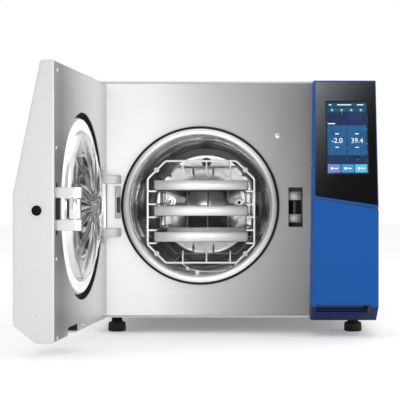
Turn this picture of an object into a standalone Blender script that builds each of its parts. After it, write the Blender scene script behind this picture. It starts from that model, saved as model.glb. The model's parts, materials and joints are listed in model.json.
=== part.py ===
"""Benchtop steam autoclave with its door swung open.

Frame: metres, +Z up, +X to the operator's right, +Y from the front panel to the back.
The dimensions below are in millimetres, in the cabinet's own frame: X = 0 on the cabinet's centre
line, Y = 0 on the front panel's face and Z = 0 on the table. One root empty moves that frame so that
the world's origin is the bottom centre of the whole object's box, door open.
"""

import math

import bmesh
import bpy
from mathutils import Matrix, Vector

MM = 0.001
GAP = 0.3  # between faces that touch on the real object

# Cabinet
WIDTH = 494.0
FLOOR_Z = 27.0
TOP_Z = 445.5
DEPTH = 600.0
SHEET = 2.0
LIP = 3.5
CENTRE_SHIFT = (39.3, -123.6)

# Chamber, its axis along Y
CHAMBER_X = -61.5
CHAMBER_Z = 225.5
CHAMBER_R = 125.0
CHAMBER_END = 440.0
FLANGE_FACE = -12.0
FLANGE_R = 136.0
TRIM_R = 140.5

# Door, modelled shut and then swung open about its hinge
HINGE_X = -233.0
HINGE_Y = -15.0
DOOR_OPEN_DEG = 95.5
DOOR_FACE = 5.0  # inner panel, in front of the hinge axis
DOOR_NEAR = -12.6  # hinge-side edge
DOOR_FAR = 363.5  # free edge
DOOR_Z = (25.0, 441.5)
DOOR_THICK = (29.7, 63.5, 22.3)  # bottom edge, chin to knee, top edge
CHIN_Z = 52.0
KNEE_Z = 243.0
SHELL = 3.0
DISC_R = 143.5
HINGE_NOTCH = (34.0, 160.0, 287.0)  # reach along the door, low and high
LATCH_U = CHAMBER_X + 169.1 - HINGE_X
LATCH_Z = 222.5
ARM_H = 16.0
ARM_GAP = 32.0
LATCH_REACH = 36.0

# Blue column beside the door
COLUMN_X = (132.0, 246.0)
COLUMN_LEAN = 5.4
COLUMN_Z = (26.0, 444.0)
COLUMN_DEPTH = (39.7, 73.5, 77.0, 32.3)  # bottom, left crease, right crease, top
CREASE_Z = (242.0, 225.0)  # left, right

# Rack and trays, measured from the chamber's axis
RACK_FRONT = 45.0
RACK_LENGTH = 372.0
RACK_HALF = (96.5, 64.0)  # half width, half top edge
RACK_Z = (121.6, 305.8)
WIRE_R = 1.9
TRAY_HALF = 86.0
TRAY_H = 17.8
RAIL_PITCH = 23.5
TRAY_LOW = 159.2
TRAY_LENGTH = 360.0

ROUND = 48


def clear_scene():
    for obj in list(bpy.data.objects):
        bpy.data.objects.remove(obj, do_unlink=True)


# ---------------------------------------------------------------- materials

PALETTE = {
    "stainless": ((0.62, 0.62, 0.63), 0.28, 1.0),
    "polished steel": ((0.75, 0.75, 0.76), 0.10, 1.0),
    "satin steel": ((0.66, 0.66, 0.67), 0.35, 1.0),
    "galvanised": ((0.52, 0.54, 0.56), 0.45, 1.0),
    "white plastic": ((0.80, 0.81, 0.82), 0.40, 0.0),
    "grey plastic": ((0.55, 0.56, 0.58), 0.45, 0.0),
    "blue plastic": ((0.012, 0.10, 0.36), 0.35, 0.0),
    "black gloss": ((0.010, 0.010, 0.012), 0.08, 0.0),
    "black plastic": ((0.020, 0.020, 0.022), 0.50, 0.0),
    "rubber": ((0.014, 0.014, 0.014), 0.70, 0.0),
    "silicone": ((0.80, 0.81, 0.80), 0.50, 0.0),
    "brass": ((0.62, 0.46, 0.20), 0.30, 1.0),
    "aluminium": ((0.70, 0.71, 0.72), 0.35, 1.0),
    "board green": ((0.02, 0.16, 0.08), 0.50, 0.0),
    "insulation": ((0.72, 0.70, 0.62), 0.90, 0.0),
    "screen": ((0.01, 0.05, 0.16), 0.12, 0.0),
}
materials = {}


def material(name):
    if name not in materials:
        colour, roughness, metallic = PALETTE[name]
        made = bpy.data.materials.new(name)
        made.use_nodes = True
        shader = made.node_tree.nodes["Principled BSDF"]
        shader.inputs["Base Color"].default_value = (*colour, 1.0)
        shader.inputs["Roughness"].default_value = roughness
        shader.inputs["Metallic"].default_value = metallic
        materials[name] = made
    return materials[name]


# ---------------------------------------------------------------- building blocks

def empty(name, place=(0, 0, 0), parent=None, turn_z_deg=0.0):
    made = bpy.data.objects.new(name, None)
    bpy.context.collection.objects.link(made)
    made.location = Vector(place) * MM
    made.rotation_euler = (0, 0, math.radians(turn_z_deg))
    made.parent = parent
    return made


def node(name, bm, look, parent, smooth=True):
    """One closed body from a bmesh in millimetres, placed in its parent's frame."""
    bmesh.ops.recalc_face_normals(bm, faces=bm.faces)
    bmesh.ops.scale(bm, vec=(MM, MM, MM), verts=bm.verts)
    mesh = bpy.data.meshes.new(name)
    bm.to_mesh(mesh)
    bm.free()
    if smooth:
        mesh.shade_smooth()
        mesh.set_sharp_from_angle(angle=math.radians(35))
    mesh.materials.append(material(look))
    made = bpy.data.objects.new(name, mesh)
    bpy.context.collection.objects.link(made)
    made.parent = parent
    return made


def add_box(bm, low, high):
    middle = [(a + b) / 2 for a, b in zip(low, high)]
    size = [b - a for a, b in zip(low, high)]
    place = Matrix.Translation(middle) @ Matrix.Diagonal((*size, 1.0))
    return bmesh.ops.create_cube(bm, size=1.0, matrix=place)["verts"]


def box_mesh(low, high):
    bm = bmesh.new()
    add_box(bm, low, high)
    return bm


def prism_mesh(outline, axis, start, stop):
    """An outline in the two axes other than `axis`, in X, Y, Z order, extruded along `axis`."""
    bm = bmesh.new()
    rings = []
    for along in (start, stop):
        ring = []
        for a, b in outline:
            point = [a, b]
            point.insert("XYZ".index(axis), along)
            ring.append(bm.verts.new(point))
        rings.append(ring)
    bm.faces.new(rings[0])
    bm.faces.new(reversed(rings[1]))
    for i in range(len(outline)):
        j = (i + 1) % len(outline)
        bm.faces.new((rings[0][j], rings[0][i], rings[1][i], rings[1][j]))
    return bm


def turned_mesh(profile, axis, centre, steps=ROUND):
    """A closed profile of (radius, place along the axis) turned about an axis through centre."""
    bm = bmesh.new()
    a, b = [i for i in range(3) if i != "XYZ".index(axis)]
    rows = []
    for radius, along in profile:
        row = []
        for k in range(steps if radius > 0 else 1):
            angle = 2 * math.pi * k / steps
            point = list(centre)
            point["XYZ".index(axis)] += along
            point[a] += radius * math.cos(angle)
            point[b] += radius * math.sin(angle)
            row.append(bm.verts.new(point))
        rows.append(row)
    for row, following in zip(rows, rows[1:] + rows[:1]):
        if len(row) == 1 and len(following) == 1:
            continue
        for k in range(steps):
            j = (k + 1) % steps
            corners = [row[k % len(row)], row[j % len(row)]]
            corners += [following[j % len(following)], following[k % len(following)]]
            bm.faces.new(list(dict.fromkeys(corners)))
    return bm


def tube_mesh(points, radius, closed=False, sides=8):
    """A wire of even thickness along straight runs, its rings mitred at each corner."""
    bm = bmesh.new()
    points = [Vector(p) for p in points]
    count = len(points)
    rings = []
    for i, point in enumerate(points):
        before = points[i - 1] if closed or i else None
        after = points[(i + 1) % count] if closed or i + 1 < count else None
        into = (point - before).normalized() if before is not None else None
        out = (after - point).normalized() if after is not None else None
        into = into or out
        out = out or into
        along = (into + out).normalized()
        side = Vector((0, 0, 1)).cross(into)
        if side.length < 0.1:
            side = Vector((0, 1, 0)).cross(into)
        side.normalize()
        up = into.cross(side)
        ring = []
        for k in range(sides):
            angle = 2 * math.pi * (k + 0.5) / sides
            arm = radius * (math.cos(angle) * side + math.sin(angle) * up)
            reach = -arm.dot(along) / into.dot(along)
            ring.append(bm.verts.new(point + arm + reach * into))
        rings.append(ring)
    pairs = list(zip(rings, rings[1:]))
    if closed:
        pairs.append((rings[-1], rings[0]))
    else:
        bm.faces.new(rings[0])
        bm.faces.new(reversed(rings[-1]))
    for ring, following in pairs:
        if closed:
            nearest = min(range(sides), key=lambda k: (following[k].co - ring[0].co).length)
            following = following[nearest:] + following[:nearest]
        for k in range(sides):
            j = (k + 1) % sides
            bm.faces.new((ring[k], ring[j], following[j], following[k]))
    return bm


def helper(name, bm, parent):
    made = node(name, bm, "grey plastic", parent, smooth=False)
    made.hide_render = True
    made.display_type = "WIRE"
    return made


def cut(target, name, bm):
    """Takes a closed shape out of the target, and keeps the cutter as a hidden helper."""
    modifier = target.modifiers.new(name, "BOOLEAN")
    modifier.operation = "DIFFERENCE"
    modifier.object = helper("cut_" + name, bm, target.parent)
    return target


def join(target, name, bm, solver="EXACT"):
    modifier = target.modifiers.new(name, "BOOLEAN")
    modifier.operation = "UNION"
    modifier.solver = solver
    modifier.object = helper("add_" + name, bm, target.parent)
    return target


def soften(target, width, segments=2, angle=40):
    modifier = target.modifiers.new("soft edges", "BEVEL")
    modifier.width = width * MM
    modifier.segments = segments
    modifier.limit_method = "ANGLE"
    modifier.angle_limit = math.radians(angle)
    return target


def box(name, low, high, look, parent, edge=0.0):
    made = node(name, box_mesh(low, high), look, parent)
    return soften(made, edge) if edge else made


def turned(name, profile, axis, centre, look, parent, steps=ROUND):
    return node(name, turned_mesh(profile, axis, centre, steps), look, parent)


def ring_profile(inner, outer, start, stop):
    return [(outer, start), (outer, stop), (inner, stop), (inner, start)]


def rod_profile(radius, start, stop, edge=0.0):
    if not edge:
        return [(0, start), (radius, start), (radius, stop), (0, stop)]
    low = [(0, start), (radius - edge, start), (radius, start + edge)]
    return low + [(radius, stop - edge), (radius - edge, stop), (0, stop)]


# ---------------------------------------------------------------- cabinet

def base_pan(root):
    half = WIDTH / 2 - SHEET - GAP
    low = (-half, 0.0, FLOOR_Z)
    high = (half, DEPTH - SHEET - GAP, FLOOR_Z + 24)
    pan = box("base_pan", low, high, "galvanised", root)
    inside_low = (-half + SHEET, SHEET, FLOOR_Z + SHEET)
    inside_high = (half - SHEET, DEPTH - 2 * SHEET - GAP, FLOOR_Z + 60)
    cut(pan, "pan_inside", box_mesh(inside_low, inside_high))
    front_low = (-half - 1, -1, FLOOR_Z + LIP)
    cut(pan, "pan_front", box_mesh(front_low, (half + 1, SHEET + 0.05, FLOOR_Z + 60)))


def vent_slots(bm, x_low, x_high, y_start, count, z_low, z_high):
    for k in range(count):
        y = y_start + 14 * k
        add_box(bm, (x_low, y, z_low), (x_high, y + 5, z_high))


def outer_cover(root):
    """A folded sheet over the top and both sides, with a front lip, side vents and the tank's hatch."""
    half = WIDTH / 2
    cover = box("outer_cover", (-half, 0, FLOOR_Z + 0.5), (half, DEPTH, TOP_Z), "white plastic", root)
    bend = cover.modifiers.new("bends", "BEVEL")
    bend.width = 5 * MM
    bend.segments = 3
    bend.limit_method = "WEIGHT"
    weights = cover.data.attributes.new("bevel_weight_edge", "FLOAT", "EDGE")
    for edge in cover.data.edges:
        ends = [cover.data.vertices[v].co for v in edge.vertices]
        on_top = all(end.z > (TOP_Z - 1) * MM for end in ends)
        runs_back = abs(ends[0].y - ends[1].y) > 0.1
        weights.data[edge.index].value = 1.0 if on_top and runs_back else 0.0
    inside = box_mesh((-half + SHEET, -5, FLOOR_Z - 5), (half - SHEET, DEPTH + 5, TOP_Z - LIP))
    cut(cover, "cover_inside", inside)
    upper = box_mesh((-half + SHEET, SHEET, TOP_Z - LIP - 1), (half - SHEET, DEPTH + 5, TOP_Z - SHEET))
    cut(cover, "cover_upper", upper)
    slots = bmesh.new()
    for side in (-1, 1):
        x_pair = sorted((side * (half - 6), side * (half + 3)))
        vent_slots(slots, *x_pair, 330, 14, 90, 130)
        vent_slots(slots, *x_pair, 330, 14, 330, 370)
    cut(cover, "cover_vents", slots)
    cut(cover, "tank_hatch", box_mesh((-150, 400, TOP_Z - 12), (150, 560, TOP_Z + 5)))


def front_panel(root):
    half = WIDTH / 2 - SHEET - GAP
    low = (-half, 0, FLOOR_Z + LIP + GAP)
    panel = box("front_panel", low, (half, SHEET, TOP_Z - LIP - GAP), "stainless", root)
    hole = turned_mesh(rod_profile(FLANGE_R + 1, -5, 8), "Y", (CHAMBER_X, 0, CHAMBER_Z), 64)
    cut(panel, "panel_chamber", hole)
    cut(panel, "panel_latch", box_mesh((95.1, -5, LATCH_Z - 35), (120.1, 8, LATCH_Z + 35)))
    cut(panel, "panel_drains", box_mesh((165, -5, 75), (225, 8, 155)))


def rear_panel(root):
    half = WIDTH / 2 - SHEET - GAP
    low = (-half, DEPTH - SHEET, FLOOR_Z + 26)
    panel = box("rear_panel", low, (half, DEPTH, TOP_Z - SHEET - GAP), "galvanised", root)
    cut(panel, "rear_fan", turned_mesh(rod_profile(44, -10, 10), "Y", (150, DEPTH, 330)))
    cut(panel, "rear_inlet", box_mesh((176, DEPTH - 9, 66), (206, DEPTH + 9, 90)))
    cut(panel, "rear_relief", turned_mesh(rod_profile(14, -10, 10), "Y", (-150, DEPTH, 330), 24))
    cut(panel, "rear_drain", turned_mesh(rod_profile(9, -10, 10), "Y", (-180, DEPTH, 78), 24))
    slots = bmesh.new()
    for k in range(12):
        add_box(slots, (-60 + 12 * k, DEPTH - 8, 240), (-55 + 12 * k, DEPTH + 8, 300))
    cut(panel, "rear_vents", slots)


def tank_lid(root):
    """Flush lid over the filling hatch; it turns about its rear barrel, inside the hatch's edge."""
    pivot = empty("tank_lid_pivot", (0, 556, TOP_Z - 0.8), root)
    lid = box("tank_lid", (-149.4, -158, 1.2), (149.4, -1.5, 5.2), "grey plastic", pivot, 1.2)
    join(lid, "lid_barrel", turned_mesh(rod_profile(3, -120, 120), "X", (0, 0, 0), 16))
    cut(lid, "lid_grip", box_mesh((-25, -166, -2), (25, -153, 3.2)))


def feet(root):
    """Ribbed rubber feet on threaded necks; each foot is one turned body with a scalloped rim."""
    for name, x, y in (("front_left", -212, 30), ("front_right", 212, 30),
                       ("rear_left", -212, 545), ("rear_right", 212, 545)):
        profile = [(0, 0), (13, 0), (16, 1.5), (15.4, 14), (14, 17), (10, 17)]
        profile += [(10, FLOOR_Z - GAP), (0, FLOOR_Z - GAP)]
        turned("foot_" + name, profile, "Z", (x, y, 0), "rubber", root, 24)


# ---------------------------------------------------------------- pressure vessel and its service parts

def chamber(root):
    centre = (CHAMBER_X, 0, CHAMBER_Z)
    outer = CHAMBER_R + SHEET
    wall = [(outer, FLANGE_FACE + 10.3), (outer, CHAMBER_END - 12), (outer - 25, CHAMBER_END + SHEET)]
    wall += [(0, CHAMBER_END + SHEET), (0, CHAMBER_END)]
    wall += [(CHAMBER_R - 24, CHAMBER_END), (CHAMBER_R, CHAMBER_END - 13), (CHAMBER_R, FLANGE_FACE + 10.3)]
    turned("chamber_vessel", wall, "Y", centre, "polished steel", root, 64)
    rim = [(FLANGE_R, FLANGE_FACE + 1.5), (FLANGE_R, FLANGE_FACE + 10), (CHAMBER_R, FLANGE_FACE + 10)]
    rim += [(CHAMBER_R, FLANGE_FACE + 0.8), (CHAMBER_R + 0.8, FLANGE_FACE), (FLANGE_R - 1.5, FLANGE_FACE)]
    turned("chamber_flange", rim, "Y", centre, "satin steel", root, 64)
    trim = ring_profile(FLANGE_R + GAP, TRIM_R, FLANGE_FACE + 4, -GAP)
    turned("chamber_trim_ring", trim, "Y", centre, "rubber", root, 64)
    jacket = ring_profile(outer + GAP, outer + 18, 60, 400)
    insulation = turned("insulation_jacket", jacket, "Y", centre, "insulation", root, 64)
    cut(insulation, "jacket_split", box_mesh((CHAMBER_X - 4, 50, 300), (CHAMBER_X + 4, 410, 400)))


def chamber_support(root):
    """Bulkhead that stands in the base pan and carries the vessel's front."""
    bottom = FLOOR_Z + SHEET + GAP
    centre = (CHAMBER_X, 0, CHAMBER_Z)
    front = box("front_bulkhead", (-215, 20, bottom), (84, 23, 420), "galvanised", root)
    cut(front, "bulkhead_hole", turned_mesh(rod_profile(CHAMBER_R + SHEET + GAP, 10, 35), "Y", centre, 64))


def chamber_fittings(root):
    """Steam inlet, temperature probe and drain strainer on the vessel's back wall."""
    back = CHAMBER_END - GAP
    inlet = [(0, -12), (7, -12), (7, -4), (10, -4), (10, 0), (0, 0)]
    turned("steam_inlet_port", inlet, "Y", (CHAMBER_X, back, CHAMBER_Z + 90), "satin steel", root, 20)
    probe = [(0, -34), (3, -32), (3, -14), (9, -14), (9, 0), (0, 0)]
    turned("temperature_probe", probe, "Y", (CHAMBER_X - 77, back, CHAMBER_Z + 6), "polished steel", root, 20)
    drain = [(4.5, -8), (9, -8), (9, -3), (12, -3), (12, 0), (0, 0), (0, -2), (4.5, -2)]
    turned("drain_strainer", drain, "Y", (CHAMBER_X + 70, back, CHAMBER_Z + 4), "satin steel", root, 20)


def service_parts(root):
    """What fills the cabinet behind and beside the vessel."""
    deck = FLOOR_Z + SHEET + GAP
    tank_low = (-160, 395, 372)
    tank = box("water_tank", tank_low, (160, 565, 430), "white plastic", root, 3)
    cut(tank, "tank_inside", box_mesh((-156, 399, 376), (156, 561, 440)))
    generator = [(0, 0), (34, 0), (38, 4), (38, 96), (34, 100), (10, 100), (10, 112), (0, 112)]
    turned("steam_generator", generator, "Z", (150, 470, deck), "satin steel", root, 32)
    box("vacuum_pump", (110, 300, deck), (200, 400, deck + 62), "aluminium", root, 4)
    motor = rod_profile(31, 0, 92, 4)
    turned("pump_motor", motor, "Z", (155, 350, deck + 62 + GAP), "black plastic", root, 32)
    box("condenser", (-200, 470, deck), (-60, 560, deck + 70), "aluminium", root, 2)
    manifold = box("valve_manifold", (112, 190, deck), (212, 240, deck + 44), "brass", root)
    for side, x in (("fill", 136), ("exhaust", 188)):
        coil = turned_mesh(rod_profile(13, -5, 38, 2), "Z", (x, 215, deck + 44), 20)
        join(manifold, f"{side}_solenoid", coil)
    box("control_board", (120, 60, 270), (122, 260, 420), "board green", root)
    box("power_supply", (130, 90, 290), (205, 240, 330), "aluminium", root, 1.5)


def rear_fittings(root):
    """Fan, mains inlet, relief valve, drain coupling and air filter on the rear panel."""
    behind = DEPTH - SHEET - GAP
    fan = (150, behind, 330)
    frame = box("fan_frame", (104, behind - 25, 284), (196, behind, 376), "black plastic", root, 2)
    cut(frame, "fan_bore", turned_mesh(rod_profile(42, -30, 10), "Y", fan, 40))
    for turn in (0, 90):
        bm = box_mesh((-44, -3, -3), (44, 0, 3))
        around = Matrix.Rotation(math.radians(turn), 3, "Y")
        bmesh.ops.rotate(bm, cent=(0, 0, 0), matrix=around, verts=bm.verts)
        bmesh.ops.translate(bm, vec=(150, behind - 21, 330), verts=bm.verts)
        join(frame, f"fan_strut_{turn}", bm)
    pivot = empty("fan_pivot", (150, behind - 8, 330), root)
    rotor = turned("fan_rotor", rod_profile(16, -12, 4, 1.5), "Y", (0, 0, 0), "black plastic", pivot, 24)
    for k in range(7):
        blade = box_mesh((12, -6, -1.2), (39, 0, 1.2))
        pitch = Matrix.Rotation(math.radians(35), 3, "X")
        bmesh.ops.rotate(blade, cent=(25, -3, 0), matrix=pitch, verts=blade.verts)
        spin = Matrix.Rotation(2 * math.pi * k / 7, 3, "Y")
        bmesh.ops.rotate(blade, cent=(0, 0, 0), matrix=spin, verts=blade.verts)
        join(rotor, f"fan_blade_{k}", blade)
    inlet = box("power_inlet", (134, DEPTH + GAP, 60), (216, DEPTH + 4, 96), "black plastic", root, 1)
    cut(inlet, "inlet_mouth", box_mesh((178, DEPTH - 8, 68), (204, DEPTH + 9, 88)))
    cut(inlet, "switch_mouth", box_mesh((137, DEPTH + 1.3, 65.5), (155, DEPTH + 9, 90.5)))
    switch = empty("power_switch_pivot", (146, DEPTH + 3.5, 78), root)
    rocker = [(-11.5, -0.4), (0, -1.6), (11.5, -0.4), (11.5, 4.4), (0, 1.8), (-11.5, 1.6)]
    outline = [(b, a) for a, b in rocker]
    node("power_switch", prism_mesh(outline, "X", -8.2, 8.2), "black gloss", switch)
    body = [(0, 0), (11, 0), (11, 14), (8, 16), (8, 22), (4, 24), (0, 24)]
    turned("safety_valve", body, "Y", (-150, DEPTH - 4, 330), "brass", root, 24)
    coupling = [(0, -2), (8, -2), (8, 8), (6, 9), (6, 20), (0, 20)]
    turned("drain_coupling", coupling, "Y", (-180, DEPTH, 78), "brass", root, 20)
    fin = []
    for k in range(5):
        fin += [(15, 4 + 4 * k), (17, 5 + 4 * k), (17, 7 + 4 * k), (15, 8 + 4 * k)]
    profile = [(0, GAP), (10, GAP), (10, 4)] + fin + [(0, 24)]
    turned("air_filter", profile, "Y", (-60, DEPTH, 370), "white plastic", root, 24)


# ---------------------------------------------------------------- front of the cabinet

def front_fittings(root):
    """Fixed hinge arms and their pin, the closing sensor and the panel's access plug."""
    for name, z in (("upper", 271.4), ("lower", 177.8)):
        low = (-243, -25, z - 7.25)
        arm = box(f"hinge_arm_{name}", low, (-201.5, -GAP, z + 7.25), "stainless", root, 1.0)
        bore = turned_mesh(rod_profile(5, -20, 20), "Z", (HINGE_X, HINGE_Y, z), 24)
        cut(arm, f"arm_bore_{name}", bore)
    pin = rod_profile(4.6, 169, 280, 0.8)
    turned("hinge_pin", pin, "Z", (HINGE_X, HINGE_Y, 0), "polished steel", root, 24)
    sensor = box("door_sensor", (-212.6, -6, 202), (-202.6, -GAP, 260), "grey plastic", root, 1.8)
    cut(sensor, "sensor_window", box_mesh((-209, -8, 212), (-200, -3.5, 240.5)))
    plug = [(0, -3), (3, -3), (5.5, -1.6), (6, -GAP), (0, -GAP)]
    turned("panel_plug", plug, "Y", (75.7, 0, 349), "polished steel", root, 24)


def lock(root):
    """Receiver behind the latch window, and the hook that swings round the door's roller."""
    x, z = HINGE_X + LATCH_U, LATCH_Z
    frame = box("lock_receiver", (x - 22, 2.6, z - 46), (x + 52, 52, z + 46), "galvanised", root)
    cut(frame, "receiver_inside", box_mesh((x - 20, -5, z - 44), (x + 50, 50, z + 44)))
    for name, low in (("upper", z + 12.5), ("lower", z - 28.5)):
        join(frame, f"receiver_block_{name}", box_mesh((x - 12, 30, low), (x + 12, 51, low + 16)))
    buffer = rod_profile(10.5, z - 12.2, z + 12.2, 0.8)
    turned("lock_buffer", buffer, "Z", (x, 39, 0), "rubber", root, 24)
    pivot = empty("lock_hook_pivot", (x + 25, 32, z), root, turn_z_deg=35)
    centre = Vector((-25.0, -18.0))
    jaw = []
    for radius, order in ((11.9, (-25, -5, 15, 35)), (16.5, (35, 15, -5, -25))):
        for degrees in order:
            angle = math.radians(degrees)
            jaw.append((centre.x + radius * math.cos(angle), centre.y + radius * math.sin(angle)))
    hook = node("lock_hook", prism_mesh(jaw, "Z", -12, 12), "satin steel", pivot)
    tail = [(-12.5, -13.5), (-9.5, -14.5), (4, -4), (-2, 5), (-15.5, -10)]
    join(hook, "hook_tail", prism_mesh(tail, "Z", -12, 12))
    join(hook, "hook_boss", turned_mesh(rod_profile(7, -12, 12), "Z", (0, 0, 0), 20))
    cut(hook, "hook_bore", turned_mesh(rod_profile(3.2, -20, 20), "Z", (0, 0, 0), 16))
    spindle = rod_profile(2.9, z - 43.5, z + 43.5)
    turned("lock_spindle", spindle, "Z", (x + 25, 32, 0), "polished steel", root, 16)
    turned("lock_motor", rod_profile(14, 52.4, 88, 2), "Y", (x + 25, 0, z), "black plastic", root, 24)


# ---------------------------------------------------------------- column

def column_side(x, crease_z, crease_depth, inset=0.0, back=-GAP):
    """The column's outline at one side, inset evenly for the inside of the moulding."""
    bottom, _, _, top = COLUMN_DEPTH
    front = crease_depth - inset
    outline = [(back, COLUMN_Z[0] + inset), (-bottom + inset * 0.4, COLUMN_Z[0] + inset)]
    outline += [(-front, CHIN_Z + inset * 0.4), (-front, crease_z)]
    outline += [(-top + inset, COLUMN_Z[1] - inset), (back, COLUMN_Z[1] - inset)]
    lean = COLUMN_LEAN if x < 180 else 0.0
    rise = COLUMN_Z[1] - COLUMN_Z[0]
    return [(x + lean * (z - COLUMN_Z[0]) / rise, y, z) for y, z in outline]


def column_mesh(inset=0.0, back=-GAP):
    bm = bmesh.new()
    left = column_side(COLUMN_X[0] + inset, CREASE_Z[0], COLUMN_DEPTH[1], inset, back)
    right = column_side(COLUMN_X[1] - inset, CREASE_Z[1], COLUMN_DEPTH[2], inset, back)
    rings = [[bm.verts.new(p) for p in side] for side in (left, right)]
    bm.faces.new(rings[0])
    bm.faces.new(reversed(rings[1]))
    for i in range(len(left)):
        j = (i + 1) % len(left)
        bm.faces.new((rings[0][j], rings[0][i], rings[1][i], rings[1][j]))
    return bm


def groove_outline(rise_left, rise_right):
    """A slanted line across the column, as far below the crease as each side's rise says."""
    slope = (CREASE_Z[1] - CREASE_Z[0]) / (COLUMN_X[1] - COLUMN_X[0])
    left = CREASE_Z[0] - rise_left - 30 * slope
    right = CREASE_Z[1] - rise_right + 30 * slope
    return (COLUMN_X[0] - 30, left), (COLUMN_X[1] + 30, right)


def split_mesh(below, rise_left, rise_right):
    (x0, z0), (x1, z1) = groove_outline(rise_left, rise_right)
    end = -40.0 if below else 500.0
    return prism_mesh([(x0, z0), (x1, z1), (x1, end), (x0, end)], "Y", -120, 20)


def fascia_frame():
    """Origin, up and outward directions of the column's sloped upper face."""
    low = Vector((COLUMN_X[0], -COLUMN_DEPTH[1], CREASE_Z[0]))
    high = Vector((COLUMN_X[0], -COLUMN_DEPTH[3], COLUMN_Z[1]))
    up = (high - low).normalized()
    return low, up, Vector((1, 0, 0)).cross(up)


def sloped_slab(x_low, x_high, z_low_left, z_low_right, z_high, front, back, lean=0.0):
    """A slab parallel to the sloped face, `front` to `back` millimetres out of it; its left edge may lean."""
    low, up, out = fascia_frame()
    bm = bmesh.new()
    rings = []
    for reach in (back, front):
        ring = []
        for x, z in ((x_low, z_low_left), (x_high, z_low_right), (x_high, z_high), (x_low + lean, z_high)):
            point = low + up * ((z - low.z) / up.z) + out * reach
            ring.append(bm.verts.new((x, point.y, point.z)))
        rings.append(ring)
    bm.faces.new(rings[0])
    bm.faces.new(reversed(rings[1]))
    for i in range(4):
        j = (i + 1) % 4
        bm.faces.new((rings[0][j], rings[0][i], rings[1][i], rings[1][j]))
    return bm


def column(root):
    shell = node("column_shell", column_mesh(), "blue plastic", root)
    soften(shell, 1.2, 2, 25)
    cut(shell, "column_inside", column_mesh(SHELL, 20))
    cut(shell, "column_lower", split_mesh(True, 2.2, 3.0))
    lean = COLUMN_LEAN / 2
    recess = sloped_slab(137.6, 244.6, CREASE_Z[0], CREASE_Z[1] + 1, 441.6, 8, -1.4, lean)
    cut(shell, "fascia_recess", recess)
    opening = sloped_slab(152, 236, 262, 262, 424, 8, -12)
    cut(shell, "screen_opening", opening)
    fascia = sloped_slab(138.0, 244.2, CREASE_Z[0] + 0.5, CREASE_Z[1] + 1.5, 441.2, 0.3, -1.1, lean)
    glass = node("fascia", fascia, "black gloss", root)
    cut(glass, "fascia_window", sloped_slab(158.6, 229.4, 280.6, 280.6, 406.4, 8, -12))
    node("touch_screen", sloped_slab(158.9, 229.1, 280.9, 280.9, 406.1, -0.3, -8), "screen", root)


def service_cover(root):
    """Lower front of the column: it pulls straight off its clips, by its finger recess."""
    cover = node("service_cover", column_mesh(0.0, -1.5), "blue plastic", root)
    soften(cover, 1.2, 2, 25)
    cut(cover, "cover_hollow", column_mesh(SHELL, 20))
    cut(cover, "cover_above", split_mesh(False, 3.2, 7.0))
    recess = [(-80, 40), (-58, 40), (-50, 44), (-50, 56), (-80, 56)]
    cut(cover, "finger_recess", prism_mesh(recess, "X", 138, 233))


def drain_ports(root):
    """Clean and used water couplings on one block, behind the service cover."""
    ports = box("drain_ports", (168, -8, 100), (222, 6, 130), "brass", root)
    for name, x in (("clean", 181), ("waste", 209)):
        profile = [(0, -6), (9, -6), (9, -12), (7, -14), (7, -24), (0, -24)]
        join(ports, f"port_{name}", turned_mesh(profile, "Y", (x, 0, 115), 20))
        cut(ports, f"port_bore_{name}", turned_mesh(rod_profile(3.2, -40, -4), "Y", (x, 0, 115), 16))


# ---------------------------------------------------------------- door

def door_outline(inset=0.0, face=DOOR_FACE):
    """Door thickness against height; Y is negative towards the operator."""
    bottom, body, top = DOOR_THICK
    return [
        (face, DOOR_Z[0] + inset),
        (DOOR_FACE - bottom + inset * 0.4, DOOR_Z[0] + inset),
        (DOOR_FACE - body + inset, CHIN_Z + inset * 0.4),
        (DOOR_FACE - body + inset, KNEE_Z),
        (DOOR_FACE - top + inset, DOOR_Z[1] - inset),
        (face, DOOR_Z[1] - inset),
    ]


def disc_cutter(radius, start, stop):
    return turned_mesh(rod_profile(radius, start, stop), "Y", (CHAMBER_X - HINGE_X, 0, CHAMBER_Z), 64)


def door_shell(hinge):
    shell = node("door_shell", prism_mesh(door_outline(), "X", DOOR_NEAR, DOOR_FAR), "white plastic", hinge)
    soften(shell, 5.0, 2, 8)
    cut(shell, "door_inside", prism_mesh(door_outline(SHELL, 20), "X", DOOR_NEAR + SHELL, DOOR_FAR - SHELL))
    _, low, high = HINGE_NOTCH
    cut(shell, "door_hinge_side", box_mesh((DOOR_NEAR - 5, -19, low), (DOOR_NEAR + 8, 10, high)))
    finger = box_mesh((DOOR_FAR - 153, -40, DOOR_Z[0] - 5), (DOOR_FAR - 85, 10, DOOR_Z[0] + 15))
    cut(shell, "door_finger_notch", finger)
    side_hole = (DOOR_FAR, DOOR_FACE - 27, 220)
    cut(shell, "door_side_bore", turned_mesh(rod_profile(7.75, -12, 12), "X", side_hole, 24))
    cut(shell, "door_side_sink", turned_mesh(rod_profile(12, -1.5, 8), "X", side_hole, 24))


def door_inner_panel(hinge):
    inset = SHELL + GAP
    low = (DOOR_NEAR + inset, DOOR_FACE - 1.5, DOOR_Z[0] + inset)
    high = (DOOR_FAR - inset, DOOR_FACE, DOOR_Z[1] - inset)
    panel = box("door_inner_panel", low, high, "stainless", hinge)
    cut(panel, "panel_disc", disc_cutter(151, -20, 30))
    reach, bottom, top = HINGE_NOTCH
    cut(panel, "panel_hinge", box_mesh((DOOR_NEAR - 5, -20, bottom), (reach, 20, top)))
    cut(panel, "panel_finger", box_mesh((DOOR_FAR - 153, -20, 20), (DOOR_FAR - 85, 20, DOOR_Z[0] + 15)))
    arm_half = ARM_GAP / 2 + ARM_H + GAP
    slot = box_mesh((LATCH_U - 12, -20, LATCH_Z - arm_half), (LATCH_U + 12, 20, LATCH_Z + arm_half))
    cut(panel, "panel_latch_slot", slot)


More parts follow.
